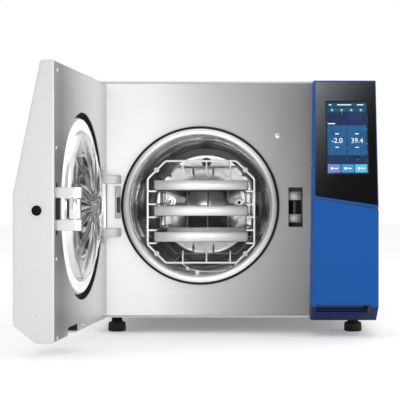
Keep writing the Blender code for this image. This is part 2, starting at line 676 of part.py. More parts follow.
def closure(hinge):
    """Pressed dish, its rim and the seal, carried by a crossbar with a spring cup at its middle."""
    centre = (CHAMBER_X - HINGE_X, 0, CHAMBER_Z)
    rim = DOOR_FACE - 6
    dish = [(DISC_R, rim - 3), (DISC_R, rim), (121, rim), (121, rim + 2)]
    steps = 8
    for k in range(1, steps + 1):
        turn = math.radians(90 * k / steps)
        radius = 23 + (119 - 23) * math.cos(turn)
        dish.append((radius, rim + 2 + 21 * math.sin(turn) ** 0.8))
    dish += [(0, rim + 23), (0, rim - 3)]
    turned("closure_disc", dish, "Y", centre, "polished steel", hinge, 64)
    seal_face = -(HINGE_Y) + FLANGE_FACE - GAP
    seal = ring_profile(121.6, 135.5, rim + GAP, seal_face)
    turned("door_seal", seal, "Y", centre, "silicone", hinge, 64)
    x = centre[0]
    bar = box("closure_crossbar", (x - 118, rim - 17, CHAMBER_Z - 22), (x + 118, rim - 5, CHAMBER_Z + 22),
              "galvanised", hinge, 2)
    join(bar, "spring_cup", turned_mesh(rod_profile(16, rim - 40, rim - 15, 1.5), "Y", centre, 24))


def door_hinge_parts(hinge):
    """Barrel on the pin, with a leaf that reaches into the door and carries the crossbar."""
    tube = ring_profile(4.7, 8, 185.6, 263.6)
    barrel = turned("hinge_barrel", tube, "Z", (0, 0, 0), "satin steel", hinge, 32)
    leaf = box_mesh((6.0, -9, 190), (52, -4, 259))
    join(barrel, "barrel_leaf", leaf)


def door_latch(hinge):
    """Clevis of two arms on a foot plate, and the polished roller that the hook takes."""
    face = DOOR_FACE
    tip = face + LATCH_REACH
    half = ARM_GAP / 2
    foot = box_mesh((LATCH_U - 17, face - 10, LATCH_Z - 44), (LATCH_U + 17, face - 4, LATCH_Z + 44))
    clevis = node("latch_clevis", foot, "satin steel", hinge)
    for name, low in (("upper", LATCH_Z + half), ("lower", LATCH_Z - half - ARM_H)):
        arm = [(LATCH_U - 11, face - 6), (LATCH_U + 11, face - 6), (LATCH_U + 11, tip - 8)]
        arm += [(LATCH_U + 6, tip), (LATCH_U - 6, tip), (LATCH_U - 11, tip - 8)]
        join(clevis, f"clevis_arm_{name}", prism_mesh(arm, "Z", low, low + ARM_H))
        bore = turned_mesh(rod_profile(4, low - 5, low + ARM_H + 5), "Z", (LATCH_U, tip - 12, 0), 16)
        cut(clevis, f"clevis_bore_{name}", bore)
    pin = rod_profile(3.7, LATCH_Z - half - ARM_H + 2, LATCH_Z + half + ARM_H - 2)
    turned("latch_pin", pin, "Z", (LATCH_U, tip - 12, 0), "polished steel", hinge, 16)
    roller_pivot = empty("latch_roller_pivot", (LATCH_U, tip - 12, 0), hinge)
    roller = ring_profile(4.0, 11, LATCH_Z - half + 0.5, LATCH_Z + half - 0.5)
    turned("latch_roller", roller, "Z", (0, 0, 0), "polished steel", roller_pivot, 32)


# ---------------------------------------------------------------- rack and trays

def octagon(y):
    wide, narrow = RACK_HALF
    low, high = RACK_Z
    drop = wide - narrow
    right = [(narrow, low), (wide, low + drop), (wide, high - drop), (narrow, high)]
    left = [(-x, z) for x, z in reversed(right)]
    return [(x, y, z) for x, z in right + left]


def rack(root):
    """Wire cradle: two octagon frames tied by runners, and the rails that the trays slide on."""
    pivot = empty("rack_pivot", (CHAMBER_X, RACK_FRONT, 0), root)
    body = node("rack", tube_mesh(octagon(0), WIRE_R, closed=True), "satin steel", pivot)
    join(body, "rear_frame", tube_mesh(octagon(RACK_LENGTH), WIRE_R, closed=True), "MANIFOLD")
    level = TRAY_LOW - GAP - WIRE_R
    for side in (-1, 1):
        for k in range(5):
            z = level + RAIL_PITCH * k
            run = [(side * 96.5, -0.4, z), (side * 82, -0.4, z), (side * 82, RACK_LENGTH + 0.4, z)]
            run.append((side * 96.5, RACK_LENGTH + 0.4, z))
            join(body, f"rail_{k}_{side}", tube_mesh(run, WIRE_R * 0.97, sides=6), "MANIFOLD")
        for end, z in (("low", RACK_Z[0]), ("high", RACK_Z[1])):
            run = [(side * 50, 0, z), (side * 50, RACK_LENGTH, z)]
            join(body, f"runner_{end}_{side}", tube_mesh(run, WIRE_R * 0.9, sides=6), "MANIFOLD")
    return pivot


def tray(number, bottom, rack_pivot):
    name = ("lower", "middle", "upper")[number]
    pivot = empty(f"tray_{name}_pivot", (0, 5, bottom), rack_pivot)
    made = box(f"tray_{name}", (-TRAY_HALF, 0, 0), (TRAY_HALF, TRAY_LENGTH, TRAY_H), "satin steel", pivot)
    wall = 1.4
    inside_low = (-TRAY_HALF + wall, wall, wall)
    inside = box_mesh(inside_low, (TRAY_HALF - wall, TRAY_LENGTH - wall, TRAY_H + 10))
    cut(made, f"tray_hollow_{number}", inside)


# ---------------------------------------------------------------- assembly

def build():
    clear_scene()
    root = empty("autoclave", (*CENTRE_SHIFT, 0))
    base_pan(root)
    outer_cover(root)
    front_panel(root)
    rear_panel(root)
    tank_lid(root)
    feet(root)
    chamber(root)
    chamber_support(root)
    chamber_fittings(root)
    service_parts(root)
    rear_fittings(root)
    front_fittings(root)
    lock(root)
    column(root)
    service_cover(root)
    drain_ports(root)
    hinge = empty("door_hinge", (HINGE_X, HINGE_Y, 0), root, turn_z_deg=-DOOR_OPEN_DEG)
    door_shell(hinge)
    door_inner_panel(hinge)
    closure(hinge)
    door_hinge_parts(hinge)
    door_latch(hinge)
    rack_pivot = rack(root)
    for number in range(3):
        tray(number, TRAY_LOW + 2 * RAIL_PITCH * number, rack_pivot)


build()
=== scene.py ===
"""Looks of the benchtop autoclave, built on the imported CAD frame.

Pieces are modelled in millimetres in one of two local frames and then placed in the world:
CABINET has X = 0 on the cabinet's centre line, Y = 0 on the front panel's face and Z = 0 on the table;
DOOR runs along the door from its hinge axis, with Y towards the chamber when the door is shut.
"""

import math

import bmesh
import bpy
from mathutils import Matrix, Vector
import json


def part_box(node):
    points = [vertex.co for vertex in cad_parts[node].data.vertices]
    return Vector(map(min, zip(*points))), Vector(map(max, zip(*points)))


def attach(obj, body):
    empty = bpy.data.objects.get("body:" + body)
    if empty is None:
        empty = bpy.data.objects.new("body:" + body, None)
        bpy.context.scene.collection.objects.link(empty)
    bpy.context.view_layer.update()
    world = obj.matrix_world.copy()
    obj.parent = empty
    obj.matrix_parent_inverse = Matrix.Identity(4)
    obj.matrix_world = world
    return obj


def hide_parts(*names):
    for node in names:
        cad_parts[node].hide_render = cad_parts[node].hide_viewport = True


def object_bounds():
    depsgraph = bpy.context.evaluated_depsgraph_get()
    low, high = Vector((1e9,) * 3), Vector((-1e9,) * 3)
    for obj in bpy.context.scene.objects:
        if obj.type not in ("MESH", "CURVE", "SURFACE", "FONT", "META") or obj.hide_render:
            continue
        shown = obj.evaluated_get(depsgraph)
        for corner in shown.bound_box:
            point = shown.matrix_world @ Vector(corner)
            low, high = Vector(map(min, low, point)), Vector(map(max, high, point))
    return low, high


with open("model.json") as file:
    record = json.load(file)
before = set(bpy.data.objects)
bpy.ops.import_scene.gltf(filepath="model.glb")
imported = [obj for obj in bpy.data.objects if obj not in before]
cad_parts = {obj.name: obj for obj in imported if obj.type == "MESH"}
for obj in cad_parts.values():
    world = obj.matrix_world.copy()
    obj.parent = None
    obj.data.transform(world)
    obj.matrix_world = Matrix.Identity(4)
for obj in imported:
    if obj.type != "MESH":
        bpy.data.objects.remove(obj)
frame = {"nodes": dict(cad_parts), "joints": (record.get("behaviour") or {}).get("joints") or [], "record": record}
cad_low, cad_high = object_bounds()

MM = 0.001

panel_low, panel_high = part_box("front_panel")
ORIGIN = Vector(((panel_low.x + panel_high.x) / 2, panel_low.y, 0.0))
CABINET = Matrix.Translation(ORIGIN) @ Matrix.Scale(MM, 4)
hinge = next(joint for joint in frame["joints"] if joint["name"] == "door_hinge")
HINGE_AXIS = Vector((hinge["pos_m"][0], hinge["pos_m"][1], 0))
UPRIGHT_HINGE = Matrix.Translation(HINGE_AXIS) @ Matrix.Scale(MM, 4)
OPEN_TURN = Matrix.Rotation(math.radians(hinge["range_deg"][0]), 4, "Z")
DOOR = Matrix.Translation(HINGE_AXIS) @ OPEN_TURN @ Matrix.Scale(MM, 4)

# Chamber, rack and trays
CHAMBER_X = -61.5
CHAMBER_Z = 225.5
CHAMBER_R = 125.0
CHAMBER_END = 440.0
FLANGE_FACE = -12.0
FLANGE_R = 136.0
TRIM_R = 140.5
RACK_FRONT = 45.0
RACK_LENGTH = 372.0
RACK_HALF = (96.5, 64.0)
RACK_Z = (121.6, 305.8)
WIRE_R = 1.9
RAIL_LOW = 157.0
RAIL_PITCH = 23.5
TRAY_LOW = 159.2
TRAY_HALF = 86.0
TRAY_LENGTH = 360.0
TRAY_H = 17.8

# Door, in its own frame
HINGE_X = -233.0  # hinge axis in the cabinet's frame
DOOR_CENTRE = 171.5  # chamber axis, along the door from the hinge
DOOR_FACE = 5.0
DOOR_FAR = 363.5
DISH_RIM = DOOR_FACE - 6
DISH_R = 119.0
DISH_DEPTH = 21.0
DISH_RIBS = 12
RIB_HEIGHT = 3.2
HUB_R = 20.5
HUB_RISE = 0.6
DISC_EDGE_R = 142.0
WELL_R = (120.0, 158.0)
LATCH_U = 340.6
LATCH_Z = 222.5
LATCH_V = 29.0

# Column: its left side, its sloped face's ends in Y and Z, the display on that face and its recess
COLUMN_X = 132.0
SLOPE_LOW = Vector((COLUMN_X, -73.5, 242.0))
SLOPE_HIGH = Vector((COLUMN_X, -32.3, 444.0))
SCREEN_X = (158.9, 229.1)
SCREEN_Z = (280.9, 406.1)
SCREEN_SUNK = 0.9
RECESS_X = (138.3, 232.7)

# Rear: the panel's outer face and the places of its fittings, as X and Z
REAR_FACE = 600.0
FAN_AT = (150.0, 330.0)
INLET_AT = (191.0, 76.5)
VALVE_AT = (-150.0, 330.0)
COUPLING_AT = (-180.0, 78.0)
FILTER_AT = (-60.0, 370.0)


# ---- materials

EVEN = (1, 1, 1)  # grain without a direction
ACROSS = (0.02, 1, 1)  # brushed along X
NOISE_RANGE = (0.3, 0.7)  # most of a noise texture's values lie in it
RELIEF = 0.0002  # metres
BLUE = (0.007, 0.085, 0.33)
# Painted shade: the dark navy of the service cover's downward-facing chin.
CHIN_PAINTED_SHADE = (0.012, 0.017, 0.075, 1.0)
CHIN_PAINTED_SHADE_EDGE = (0.0515, 0.0525)  # heights in metres between which the cover's colour changes to the chin's painted shade
UNLIT_SHARE = 0.15  # a lit area's own colour, as a share of its glow
SPECK_SCALE = 130.0
SPECK_RANGE = (0.07, 0.17)


def add_node(tree, kind, **values):
    """Adds a node; each value goes to the input of its name, or else to the property."""
    made = tree.nodes.new(kind)
    for key, value in values.items():
        if key in made.inputs:
            made.inputs[key].default_value = value
        else:
            setattr(made, key, value)
    return made


def object_coords(tree):
    return add_node(tree, "ShaderNodeTexCoord").outputs["Object"]


def noise(tree, scale, stretch=EVEN, detail=3.0):
    """Noise in the object's own coordinates, drawn out along the axes whose stretch is small."""
    mapping = add_node(tree, "ShaderNodeMapping", Scale=stretch)
    texture = add_node(tree, "ShaderNodeTexNoise", Scale=scale, Detail=detail)
    tree.links.new(object_coords(tree), mapping.inputs["Vector"])
    tree.links.new(mapping.outputs["Vector"], texture.inputs["Vector"])
    return texture.outputs["Fac"]


def spread(tree, value, low, high, start, end):
    """Maps a value between `start` and `end` to one between `low` and `high`."""
    limits = {"From Min": start, "From Max": end, "To Min": low, "To Max": high}
    ranged = add_node(tree, "ShaderNodeMapRange", **limits)
    tree.links.new(value, ranged.inputs["Value"])
    return ranged.outputs["Result"]


def colour_ramp(tree, value, stops):
    ramp = tree.nodes.new("ShaderNodeValToRGB")
    elements = ramp.color_ramp.elements
    while len(elements) < len(stops):
        elements.new(0.5)
    for element, (position, colour) in zip(elements, stops):
        element.position = position
        element.color = (*colour, 1.0)
    tree.links.new(value, ramp.inputs["Fac"])
    return ramp.outputs["Color"]


def two_tones(tree, value, low, high):
    return colour_ramp(tree, value, list(zip(NOISE_RANGE, (low, high))))


def mixed(tree, factor, first, second, blend="MIX"):
    """Blends two colours by a factor; each of the three is a socket or a constant."""
    mix = add_node(tree, "ShaderNodeMix", data_type="RGBA", blend_type=blend)
    first_colour, second_colour, result = mix.inputs[6], mix.inputs[7], mix.outputs[2]
    for value, socket in ((factor, mix.inputs["Factor"]), (first, first_colour), (second, second_colour)):
        if isinstance(value, bpy.types.NodeSocket):
            tree.links.new(value, socket)
        else:
            socket.default_value = value
    return result


def tint(colour, factor):
    return tuple(min(1.0, c * factor) for c in colour)


def new_material(name):
    material = bpy.data.materials.new(name)
    material.use_nodes = True
    return material


def nodes_of(material):
    """A material's node tree, its shader's inputs and what colours it, if anything does yet."""
    tree = material.node_tree
    inputs = tree.nodes["Principled BSDF"].inputs
    links = inputs["Base Color"].links
    return tree, inputs, links[0].from_socket if links else None


def look(name, colour, rough, metal=0.0, vary=0.05, rough_vary=0.05, grain=EVEN, scale=300.0,
         bump=0.05, bump_scale=2500.0, **sockets):
    """A Principled material whose colour, roughness and fine relief come from drawn-out noise.

    The colour varies by the share `vary` and the roughness by `rough_vary`, both at `scale`.
    """
    material = new_material(name)
    tree, inputs, _ = nodes_of(material)
    inputs["Metallic"].default_value = metal
    for key, value in sockets.items():
        inputs[key.replace("_", " ")].default_value = value
    broad = noise(tree, scale, grain)
    coloured = two_tones(tree, broad, tint(colour, 1 - vary), tint(colour, 1 + vary))
    roughness = spread(tree, broad, rough - rough_vary, rough + rough_vary, *NOISE_RANGE)
    relief = add_node(tree, "ShaderNodeBump", Strength=bump, Distance=RELIEF)
    tree.links.new(noise(tree, bump_scale, grain, 2.0), relief.inputs["Height"])
    tree.links.new(coloured, inputs["Base Color"])
    tree.links.new(roughness, inputs["Roughness"])
    tree.links.new(relief.outputs["Normal"], inputs["Normal"])
    return material


def glow(name, low, high, strength, scale=40.0, speckle=None):
    """A lit display area: its colour drifts between two tones, with bright specks if asked for."""
    material = new_material(name)
    tree, inputs, _ = nodes_of(material)
    inputs["Roughness"].default_value = 0.12
    inputs["Emission Strength"].default_value = strength
    lit = two_tones(tree, noise(tree, scale), low, high)
    if speckle:
        cells = add_node(tree, "ShaderNodeTexVoronoi", Scale=SPECK_SCALE)
        tree.links.new(object_coords(tree), cells.inputs["Vector"])
        mask = spread(tree, cells.outputs["Distance"], 1.0, 0.0, *SPECK_RANGE)
        lit = mixed(tree, mask, lit, (*speckle, 1.0))
    unlit = two_tones(tree, noise(tree, scale), tint(low, UNLIT_SHARE), tint(high, UNLIT_SHARE))
    tree.links.new(unlit, inputs["Base Color"])
    tree.links.new(lit, inputs["Emission Color"])
    return material


def paint_light_and_shade(material, direction, start, end, shades):
    """Paints light and shade into the colour: multiplies it by evenly spaced shades, from `start` to `end` metres
    along a direction.
    """
    tree, inputs, plain = nodes_of(material)
    along = add_node(tree, "ShaderNodeVectorMath", operation="DOT_PRODUCT")
    along.inputs[1].default_value = direction
    tree.links.new(object_coords(tree), along.inputs[0])
    share = spread(tree, along.outputs["Value"], 0.0, 1.0, start, end)
    last = len(shades) - 1
    ramp = colour_ramp(tree, share, [(k / last, (shade, shade, shade)) for k, shade in enumerate(shades)])
    tree.links.new(mixed(tree, 1.0, plain, ramp, "MULTIPLY"), inputs["Base Color"])
    return material


def column_blue(name):
    return look(name, BLUE, 0.40, vary=0.03, bump=0.02, bump_scale=2400, Specular_IOR_Level=0.12)


def blue_with_painted_chin_shade():
    """The cover's blue, with painted shade: it turns to dark navy below the finger recess, on the chin that faces
    down.
    """
    material = column_blue("cover_blue_painted_chin_shade")
    tree, inputs, upper = nodes_of(material)
    split = add_node(tree, "ShaderNodeSeparateXYZ")
    tree.links.new(object_coords(tree), split.inputs["Vector"])
    share = spread(tree, split.outputs["Z"], 0.0, 1.0, *CHIN_PAINTED_SHADE_EDGE)
    tree.links.new(mixed(tree, share, CHIN_PAINTED_SHADE, upper), inputs["Base Color"])
    return material


LOOKS = {}


def slot_look(slot, *values, **more):
    """The look that every node of a material slot has by default."""
    LOOKS[slot] = look(slot, *values, **more)


slot_look("cover_paint", (0.56, 0.57, 0.58), 0.42, vary=0.03, bump=0.05, bump_scale=1400)
slot_look("panel_steel", (0.60, 0.60, 0.61), 0.34, 1.0, 0.025, 0.02, ACROSS, 1500, 0.02, 3200)
slot_look("mirror_steel", (0.74, 0.74, 0.75), 0.13, 1.0, 0.03, 0.03, EVEN, 60, 0.01, 900)
slot_look("satin_steel", (0.74, 0.74, 0.75), 0.30, 0.9, 0.025, 0.02, ACROSS, 1500, 0.02, 3000)
slot_look("zinc_steel", (0.50, 0.52, 0.54), 0.42, 1.0, 0.06, 0.05, EVEN, 110, 0.03, 900)
slot_look("door_plastic", (0.62, 0.63, 0.64), 0.42, vary=0.02, bump=0.02, bump_scale=1700)
slot_look("grey_plastic", (0.50, 0.51, 0.53), 0.42, bump=0.15, bump_scale=1800)
slot_look("white_plastic", (0.78, 0.78, 0.76), 0.45, bump=0.10, bump_scale=1500)
LOOKS["blue_plastic"] = column_blue("blue_plastic")
slot_look("black_gloss", (0.006, 0.006, 0.007), 0.09, vary=0.3, rough_vary=0.02, bump=0.01)
slot_look("black_plastic", (0.018, 0.018, 0.020), 0.48, vary=0.2, bump=0.2, bump_scale=1500)
slot_look("rubber", (0.006, 0.006, 0.006), 0.60, vary=0.3, rough_vary=0.08, bump=0.3,
          bump_scale=1200, Specular_IOR_Level=0.3)
slot_look("silicone", (0.90, 0.90, 0.89), 0.36, vary=0.03, bump=0.05, bump_scale=900)
slot_look("brass", (0.60, 0.42, 0.17), 0.28, 1.0, 0.10, 0.08, EVEN, 220, 0.06, 1500)
slot_look("aluminium", (0.64, 0.65, 0.66), 0.42, 1.0, 0.08, 0.07, EVEN, 160, 0.25, 900)
slot_look("circuit_board", (0.02, 0.15, 0.07), 0.35, vary=0.25, scale=240, bump=0.2)
slot_look("insulation", (0.70, 0.68, 0.60), 0.9, vary=0.12, scale=120, bump=0.9, bump_scale=420)
slot_look("screen_glass", (0.006, 0.014, 0.035), 0.08, vary=0.2, bump=0.01)
# Painted reflection: the front panel's colour is lightest at the hinge side and darkens towards the column.
FRONT_STEEL_PAINTED_REFLECTION = paint_light_and_shade(
    look("front_steel_painted_reflection", (0.95, 0.95, 0.955), 0.36, 0.45, 0.015, 0.02, ACROSS, 1500, 0.01, 3200),
    (1, 0, 0), ORIGIN.x + HINGE_X * MM, ORIGIN.x + COLUMN_X * MM,
    (1.0, 0.98, 0.90, 0.72, 0.56, 0.46, 0.38, 0.31, 0.27))
# Painted reflection: the door's inner panel is lightest a quarter of the way from the hinge and darkest towards
# its free edge.
DOOR_STEEL_PAINTED_REFLECTION = paint_light_and_shade(
    look("door_steel_painted_reflection", (0.95, 0.95, 0.955), 0.36, 0.40, 0.015, 0.02, EVEN, 900, 0.01, 3200),
    (0, -1, 0), -HINGE_AXIS.y, -HINGE_AXIS.y + 0.363,
    (0.46, 0.62, 0.66, 0.60, 0.52, 0.42, 0.30, 0.18, 0.21))
# Painted shading: the trays are lightest a little left of their middle and darker towards both sides.
TRAY_STEEL_PAINTED_SHADING = paint_light_and_shade(
    look("tray_steel_painted_shading", (0.82, 0.82, 0.825), 0.34, 0.55, 0.015, 0.03, ACROSS, 1500, 0.02, 3000),
    (1, 0, 0), ORIGIN.x + (CHAMBER_X - TRAY_HALF) * MM, ORIGIN.x + (CHAMBER_X + TRAY_HALF) * MM,
    (0.50, 0.62, 0.85, 1.0, 0.92, 0.85, 0.75, 0.60, 0.45))
# Painted reflection: the chamber's rim is light at the top and bottom and darker at its sides.
RIM_STEEL_PAINTED_REFLECTION = paint_light_and_shade(
    look("rim_steel_painted_reflection", (0.90, 0.90, 0.91), 0.42, 0.70, 0.02, 0.02, EVEN, 400, 0.01, 3000),
    (0, 0, 1), (CHAMBER_Z - FLANGE_R) * MM, (CHAMBER_Z + FLANGE_R) * MM,
    (1.0, 0.80, 0.55, 0.44, 0.44, 0.55, 0.80, 1.0))
# Painted shade: the chamber's steel darkens at its back wall.
WALL_STEEL_PAINTED_SHADE = paint_light_and_shade(
    look("wall_steel_painted_shade", (0.98, 0.98, 0.985), 0.17, 0.75, 0.015, 0.03, (1, 0.15, 1), 30, 0.004, 300),
    (0, 1, 0), ORIGIN.y + 0.425, ORIGIN.y + CHAMBER_END * MM, (1.0, 1.0, 0.9, 0.42))
DISH_STEEL = look("dish_steel", (0.78, 0.78, 0.79), 0.12, 1.0, 0.03, 0.02, EVEN, 60, 0.01, 900)
HOOK_STEEL = look("hook_steel", (0.50, 0.50, 0.51), 0.40, 0.7, 0.05, 0.05, ACROSS, 500, 0.02, 2000)
# Painted shade: the hinge arms darken towards their right ends.
HINGE_STEEL_PAINTED_SHADE = paint_light_and_shade(
    look("hinge_steel_painted_shade", (0.66, 0.66, 0.67), 0.36, 0.6, 0.03, 0.04, ACROSS, 700, 0.01, 2400),
    (1, 0, 0), ORIGIN.x - 0.243, ORIGIN.x - 0.201, (0.75, 0.9, 0.9, 0.85, 0.38))
WIRE_STEEL = look("wire_steel", (0.93, 0.93, 0.93), 0.32, 0.5, 0.02, 0.02, EVEN, 90, 0.002, 300)
# Painted highlight: the fascia's colour is lightest at its top-left corner and fades to near black at the bottom
# right.
FASCIA_WAY = Vector((0.82, 0, -0.57))
FASCIA_TOP_LEFT = Vector((ORIGIN.x + 0.136, 0, 0.442))
FASCIA_LOW_RIGHT = Vector((ORIGIN.x + 0.244, 0, 0.226))
FASCIA_PAINTED_HIGHLIGHT = paint_light_and_shade(
    look("fascia_painted_highlight", (0.19, 0.195, 0.21), 0.14, vary=0.04, rough_vary=0.02, bump=0.005,
         Specular_IOR_Level=0.10),
    FASCIA_WAY, FASCIA_WAY.dot(FASCIA_TOP_LEFT), FASCIA_WAY.dot(FASCIA_LOW_RIGHT),
    (1.0, 0.62, 0.36, 0.18, 0.07, 0.03, 0.02, 0.015, 0.015))
SCREW = look("screw_steel", (0.60, 0.60, 0.61), 0.22, 1.0, 0.10, 0.06, EVEN, 900, 0.05)
DARK_STEEL = look("dark_steel", (0.055, 0.056, 0.06), 0.36, 0.8, 0.2, 0.08, EVEN, 150, 0.08)
DEEP_BLACK = look("deep_black", (0.004, 0.004, 0.004), 0.7, vary=0.3, bump=0.1)
# Painted shade: the dark navy inside the finger recess and the column's groove.
RECESS_PAINTED_SHADE = look("recess_painted_shade", (0.012, 0.030, 0.13), 0.35, vary=0.1, bump=0.06, bump_scale=1900)
CREAM = look("buffer_cream", (0.80, 0.79, 0.74), 0.4, vary=0.05, bump=0.05, bump_scale=900)
DISPLAY = glow("display_ground", (0.002, 0.010, 0.050), (0.006, 0.034, 0.13), 0.8, 45, (0.05, 0.50, 0.75))
TAB_GLOW = glow("display_tabs", (0.006, 0.045, 0.10), (0.012, 0.10, 0.17), 0.8, 90)
PANEL_GLOW = glow("display_panels", (0.006, 0.07, 0.20), (0.014, 0.12, 0.30), 0.9, 50)
TEXT_GLOW = glow("display_text", (0.75, 0.85, 0.95), (0.9, 0.95, 1.0), 1.0)
MARK_GLOW = glow("display_marks", (0.25, 0.55, 0.72), (0.35, 0.68, 0.82), 0.8)
BUTTON_GLOWS = (
    glow("display_violet", (0.15, 0.20, 0.55), (0.19, 0.25, 0.62), 0.9),
    glow("display_blue", (0.04, 0.26, 0.62), (0.06, 0.32, 0.70), 0.9),
    glow("display_cyan", (0.08, 0.48, 0.68), (0.13, 0.56, 0.74), 0.9),
)


# ---- meshes

ON_AXIS = 1e-6
SHARP = 35.0  # degrees; flatter edges are shaded smooth
FLAT = 1.5  # degrees; faces that turn less are joined into one
CORNER = 50.0  # degrees; sharper edges are rounded
SAME_PLACE = 0.00002  # metres


def circle(steps):
    """Cosines and sines of a circle's evenly spaced angles."""
    angles = [2 * math.pi * k / steps for k in range(steps)]
    return [(math.cos(angle), math.sin(angle)) for angle in angles]


def on_axis(axis, along, a, b):
    """A point at `along` on the named axis; a and b are the other two coordinates in order."""
    return {"X": (along, a, b), "Y": (a, along, b), "Z": (a, b, along)}[axis]


def bridge(bm, rings):
    """Quads between each ring of vertices and the next."""
    for low, high in zip(rings, rings[1:]):
        for k in range(len(low)):
            j = (k + 1) % len(low)
            bm.faces.new((low[k], low[j], high[j], high[k]))


def lathe(bm, profile, axis, centre, steps):
    """Revolves (radius, along) points about an axis through `centre`, closing the ends on the axis."""
    base = Vector(centre)
    rings = []
    for radius, along in profile:
        places = circle(steps)[:1] if radius < ON_AXIS else circle(steps)
        points = [base + Vector(on_axis(axis, along, radius * cos, radius * sin)) for cos, sin in places]
        rings.append([bm.verts.new(point) for point in points])
    closed = profile[0][0] > ON_AXIS and profile[-1][0] > ON_AXIS
    for first, second in zip(rings, rings[1:] + rings[:1] if closed else rings[1:]):
        for k in range(steps):
            j = (k + 1) % steps
            corners = [first[k % len(first)], first[j % len(first)]]
            corners += [second[j % len(second)], second[k % len(second)]]
            unique = list(dict.fromkeys(corners))
            if len(unique) > 2:
                bm.faces.new(unique)
    return bm


def turned(profile, centre, steps, axis="Y"):
    return lathe(bmesh.new(), profile, axis, centre, steps)


def block(bm, low, high, edge):
    """A box between two corners, with its edges rounded."""
    made = bmesh.ops.create_cube(bm, size=1.0)["verts"]
    low, high = Vector(low), Vector(high)
    for v in made:
        v.co = Vector((low[i] + (v.co[i] + 0.5) * (high[i] - low[i]) for i in range(3)))
    edges = list({e for v in made for e in v.link_edges})
    bmesh.ops.bevel(bm, geom=edges, offset=edge, segments=2, profile=0.5, affect="EDGES")
    return bm


def prism(bm, outline, axis, start, stop, edge=0.0):
    """Extrudes an outline along an axis; the outline's pairs are the other two axes in order."""
    rings = [[bm.verts.new(on_axis(axis, along, a, b)) for a, b in outline] for along in (start, stop)]
    faces = [bm.faces.new(rings[0]), bm.faces.new(list(reversed(rings[1])))]
    count = len(outline)
    for i in range(count):
        j = (i + 1) % count
        faces.append(bm.faces.new((rings[0][j], rings[0][i], rings[1][i], rings[1][j])))
    if edge:
        edges = list({e for f in faces for e in f.edges})
        bmesh.ops.bevel(bm, geom=edges, offset=edge, segments=2, profile=0.5, affect="EDGES")
    return bm


def rounded_rectangle(x0, x1, y0, y1, radius, steps=4):
    outline = []
    for cx, cy, start in ((x1 - radius, y0 + radius, -90), (x1 - radius, y1 - radius, 0),
                          (x0 + radius, y1 - radius, 90), (x0 + radius, y0 + radius, 180)):
        for k in range(steps + 1):
            angle = math.radians(start + 90 * k / steps)
            outline.append((cx + radius * math.cos(angle), cy + radius * math.sin(angle)))
    return outline


def filleted(points, radius, closed=False, steps=4):
    """The same path with its corners rounded."""
    path = [Vector(p) for p in points]
    count = len(path)
    smooth = []
    for i, corner in enumerate(path):
        if not closed and i in (0, count - 1):
            smooth.append(corner)
            continue
        before, after = path[i - 1], path[(i + 1) % count]
        room = min(radius, (before - corner).length * 0.49, (after - corner).length * 0.49)
        start = corner + (before - corner).normalized() * room
        end = corner + (after - corner).normalized() * room
        for k in range(steps + 1):
            t = k / steps
            smooth.append(start * (1 - t) ** 2 + corner * 2 * t * (1 - t) + end * t ** 2)
    return smooth


def wires(bm, paths, radius, closed=False, sides=3):
    """Round wires swept along each path, added to the mesh."""
    curve = bpy.data.curves.new("wire_guide", "CURVE")
    curve.dimensions = "3D"
    curve.bevel_depth = radius
    curve.bevel_resolution = sides
    curve.use_fill_caps = True
    for path in paths:
        spline = curve.splines.new("POLY")
        spline.points.add(len(path) - 1)
        for point, place in zip(spline.points, path):
            point.co = (*place, 1.0)
        spline.use_cyclic_u = closed
    holder = bpy.data.objects.new("wire_guide", curve)
    mesh = bpy.data.meshes.new_from_object(holder)
    bm.from_mesh(mesh)
    bpy.data.objects.remove(holder)
    bpy.data.curves.remove(curve)
    bpy.data.meshes.remove(mesh)
    return bm


def screw_head(bm, centre, radius):
    """A low button head with a socket, facing along Y."""
    profile = [(0, 0.5), (radius * 0.42, 0.5), (radius * 0.46, 1.5), (radius * 0.62, 1.5)]
    profile += [(radius * 0.88, 1.1), (radius, 0.45), (radius, -0.4), (0, -0.4)]
    lathe(bm, profile, "Y", centre, 20)


def add_to_scene(name, data):
    made = bpy.data.objects.new(name, data)
    bpy.context.scene.collection.objects.link(made)
    return made


def piece(name, bm, place, body, slot, replaces=(), material=None, sharp=SHARP):
    """Puts a mesh into the world as a piece that rides on a CAD body."""
    bmesh.ops.recalc_face_normals(bm, faces=bm.faces)
    bm.transform(place)
    mesh = bpy.data.meshes.new(name)
    bm.to_mesh(mesh)
    bm.free()
    return mesh_piece(name, mesh, body, slot, replaces, material, sharp)


def mesh_piece(name, mesh, body, slot, replaces=(), material=None, sharp=SHARP):
    """A finished mesh as a riding piece; without a material of its own it has its slot's look."""
    mesh.polygons.foreach_set("use_smooth", [True] * len(mesh.polygons))
    mesh.set_sharp_from_angle(angle=math.radians(sharp))
    mesh.materials.clear()
    mesh.materials.append(material or LOOKS[slot])
    made = add_to_scene(name, mesh)
    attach(made, body)
    if replaces:
        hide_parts(*replaces)
    return made


def fitted(name, bm, slot, replaces=(), material=None, body="cabinet", sharp=SHARP):
    """A piece drawn in the cabinet's frame."""
    piece(name, bm, CABINET, body, slot, replaces, material, sharp)


def on_door(name, bm, slot, replaces=(), material=None, body="door", sharp=SHARP):
    """A piece drawn in the door's frame."""
    piece(name, bm, DOOR, body, slot, replaces, material, sharp)


def body_of(node):
    bodies = frame["record"]["behaviour"]["bodies"]
    return next(body for body, members in bodies.items() if node in members)


def slot_of(node):
    return next(s["material_slot"] for s in frame["record"]["subparts"] if s["node"] == node)


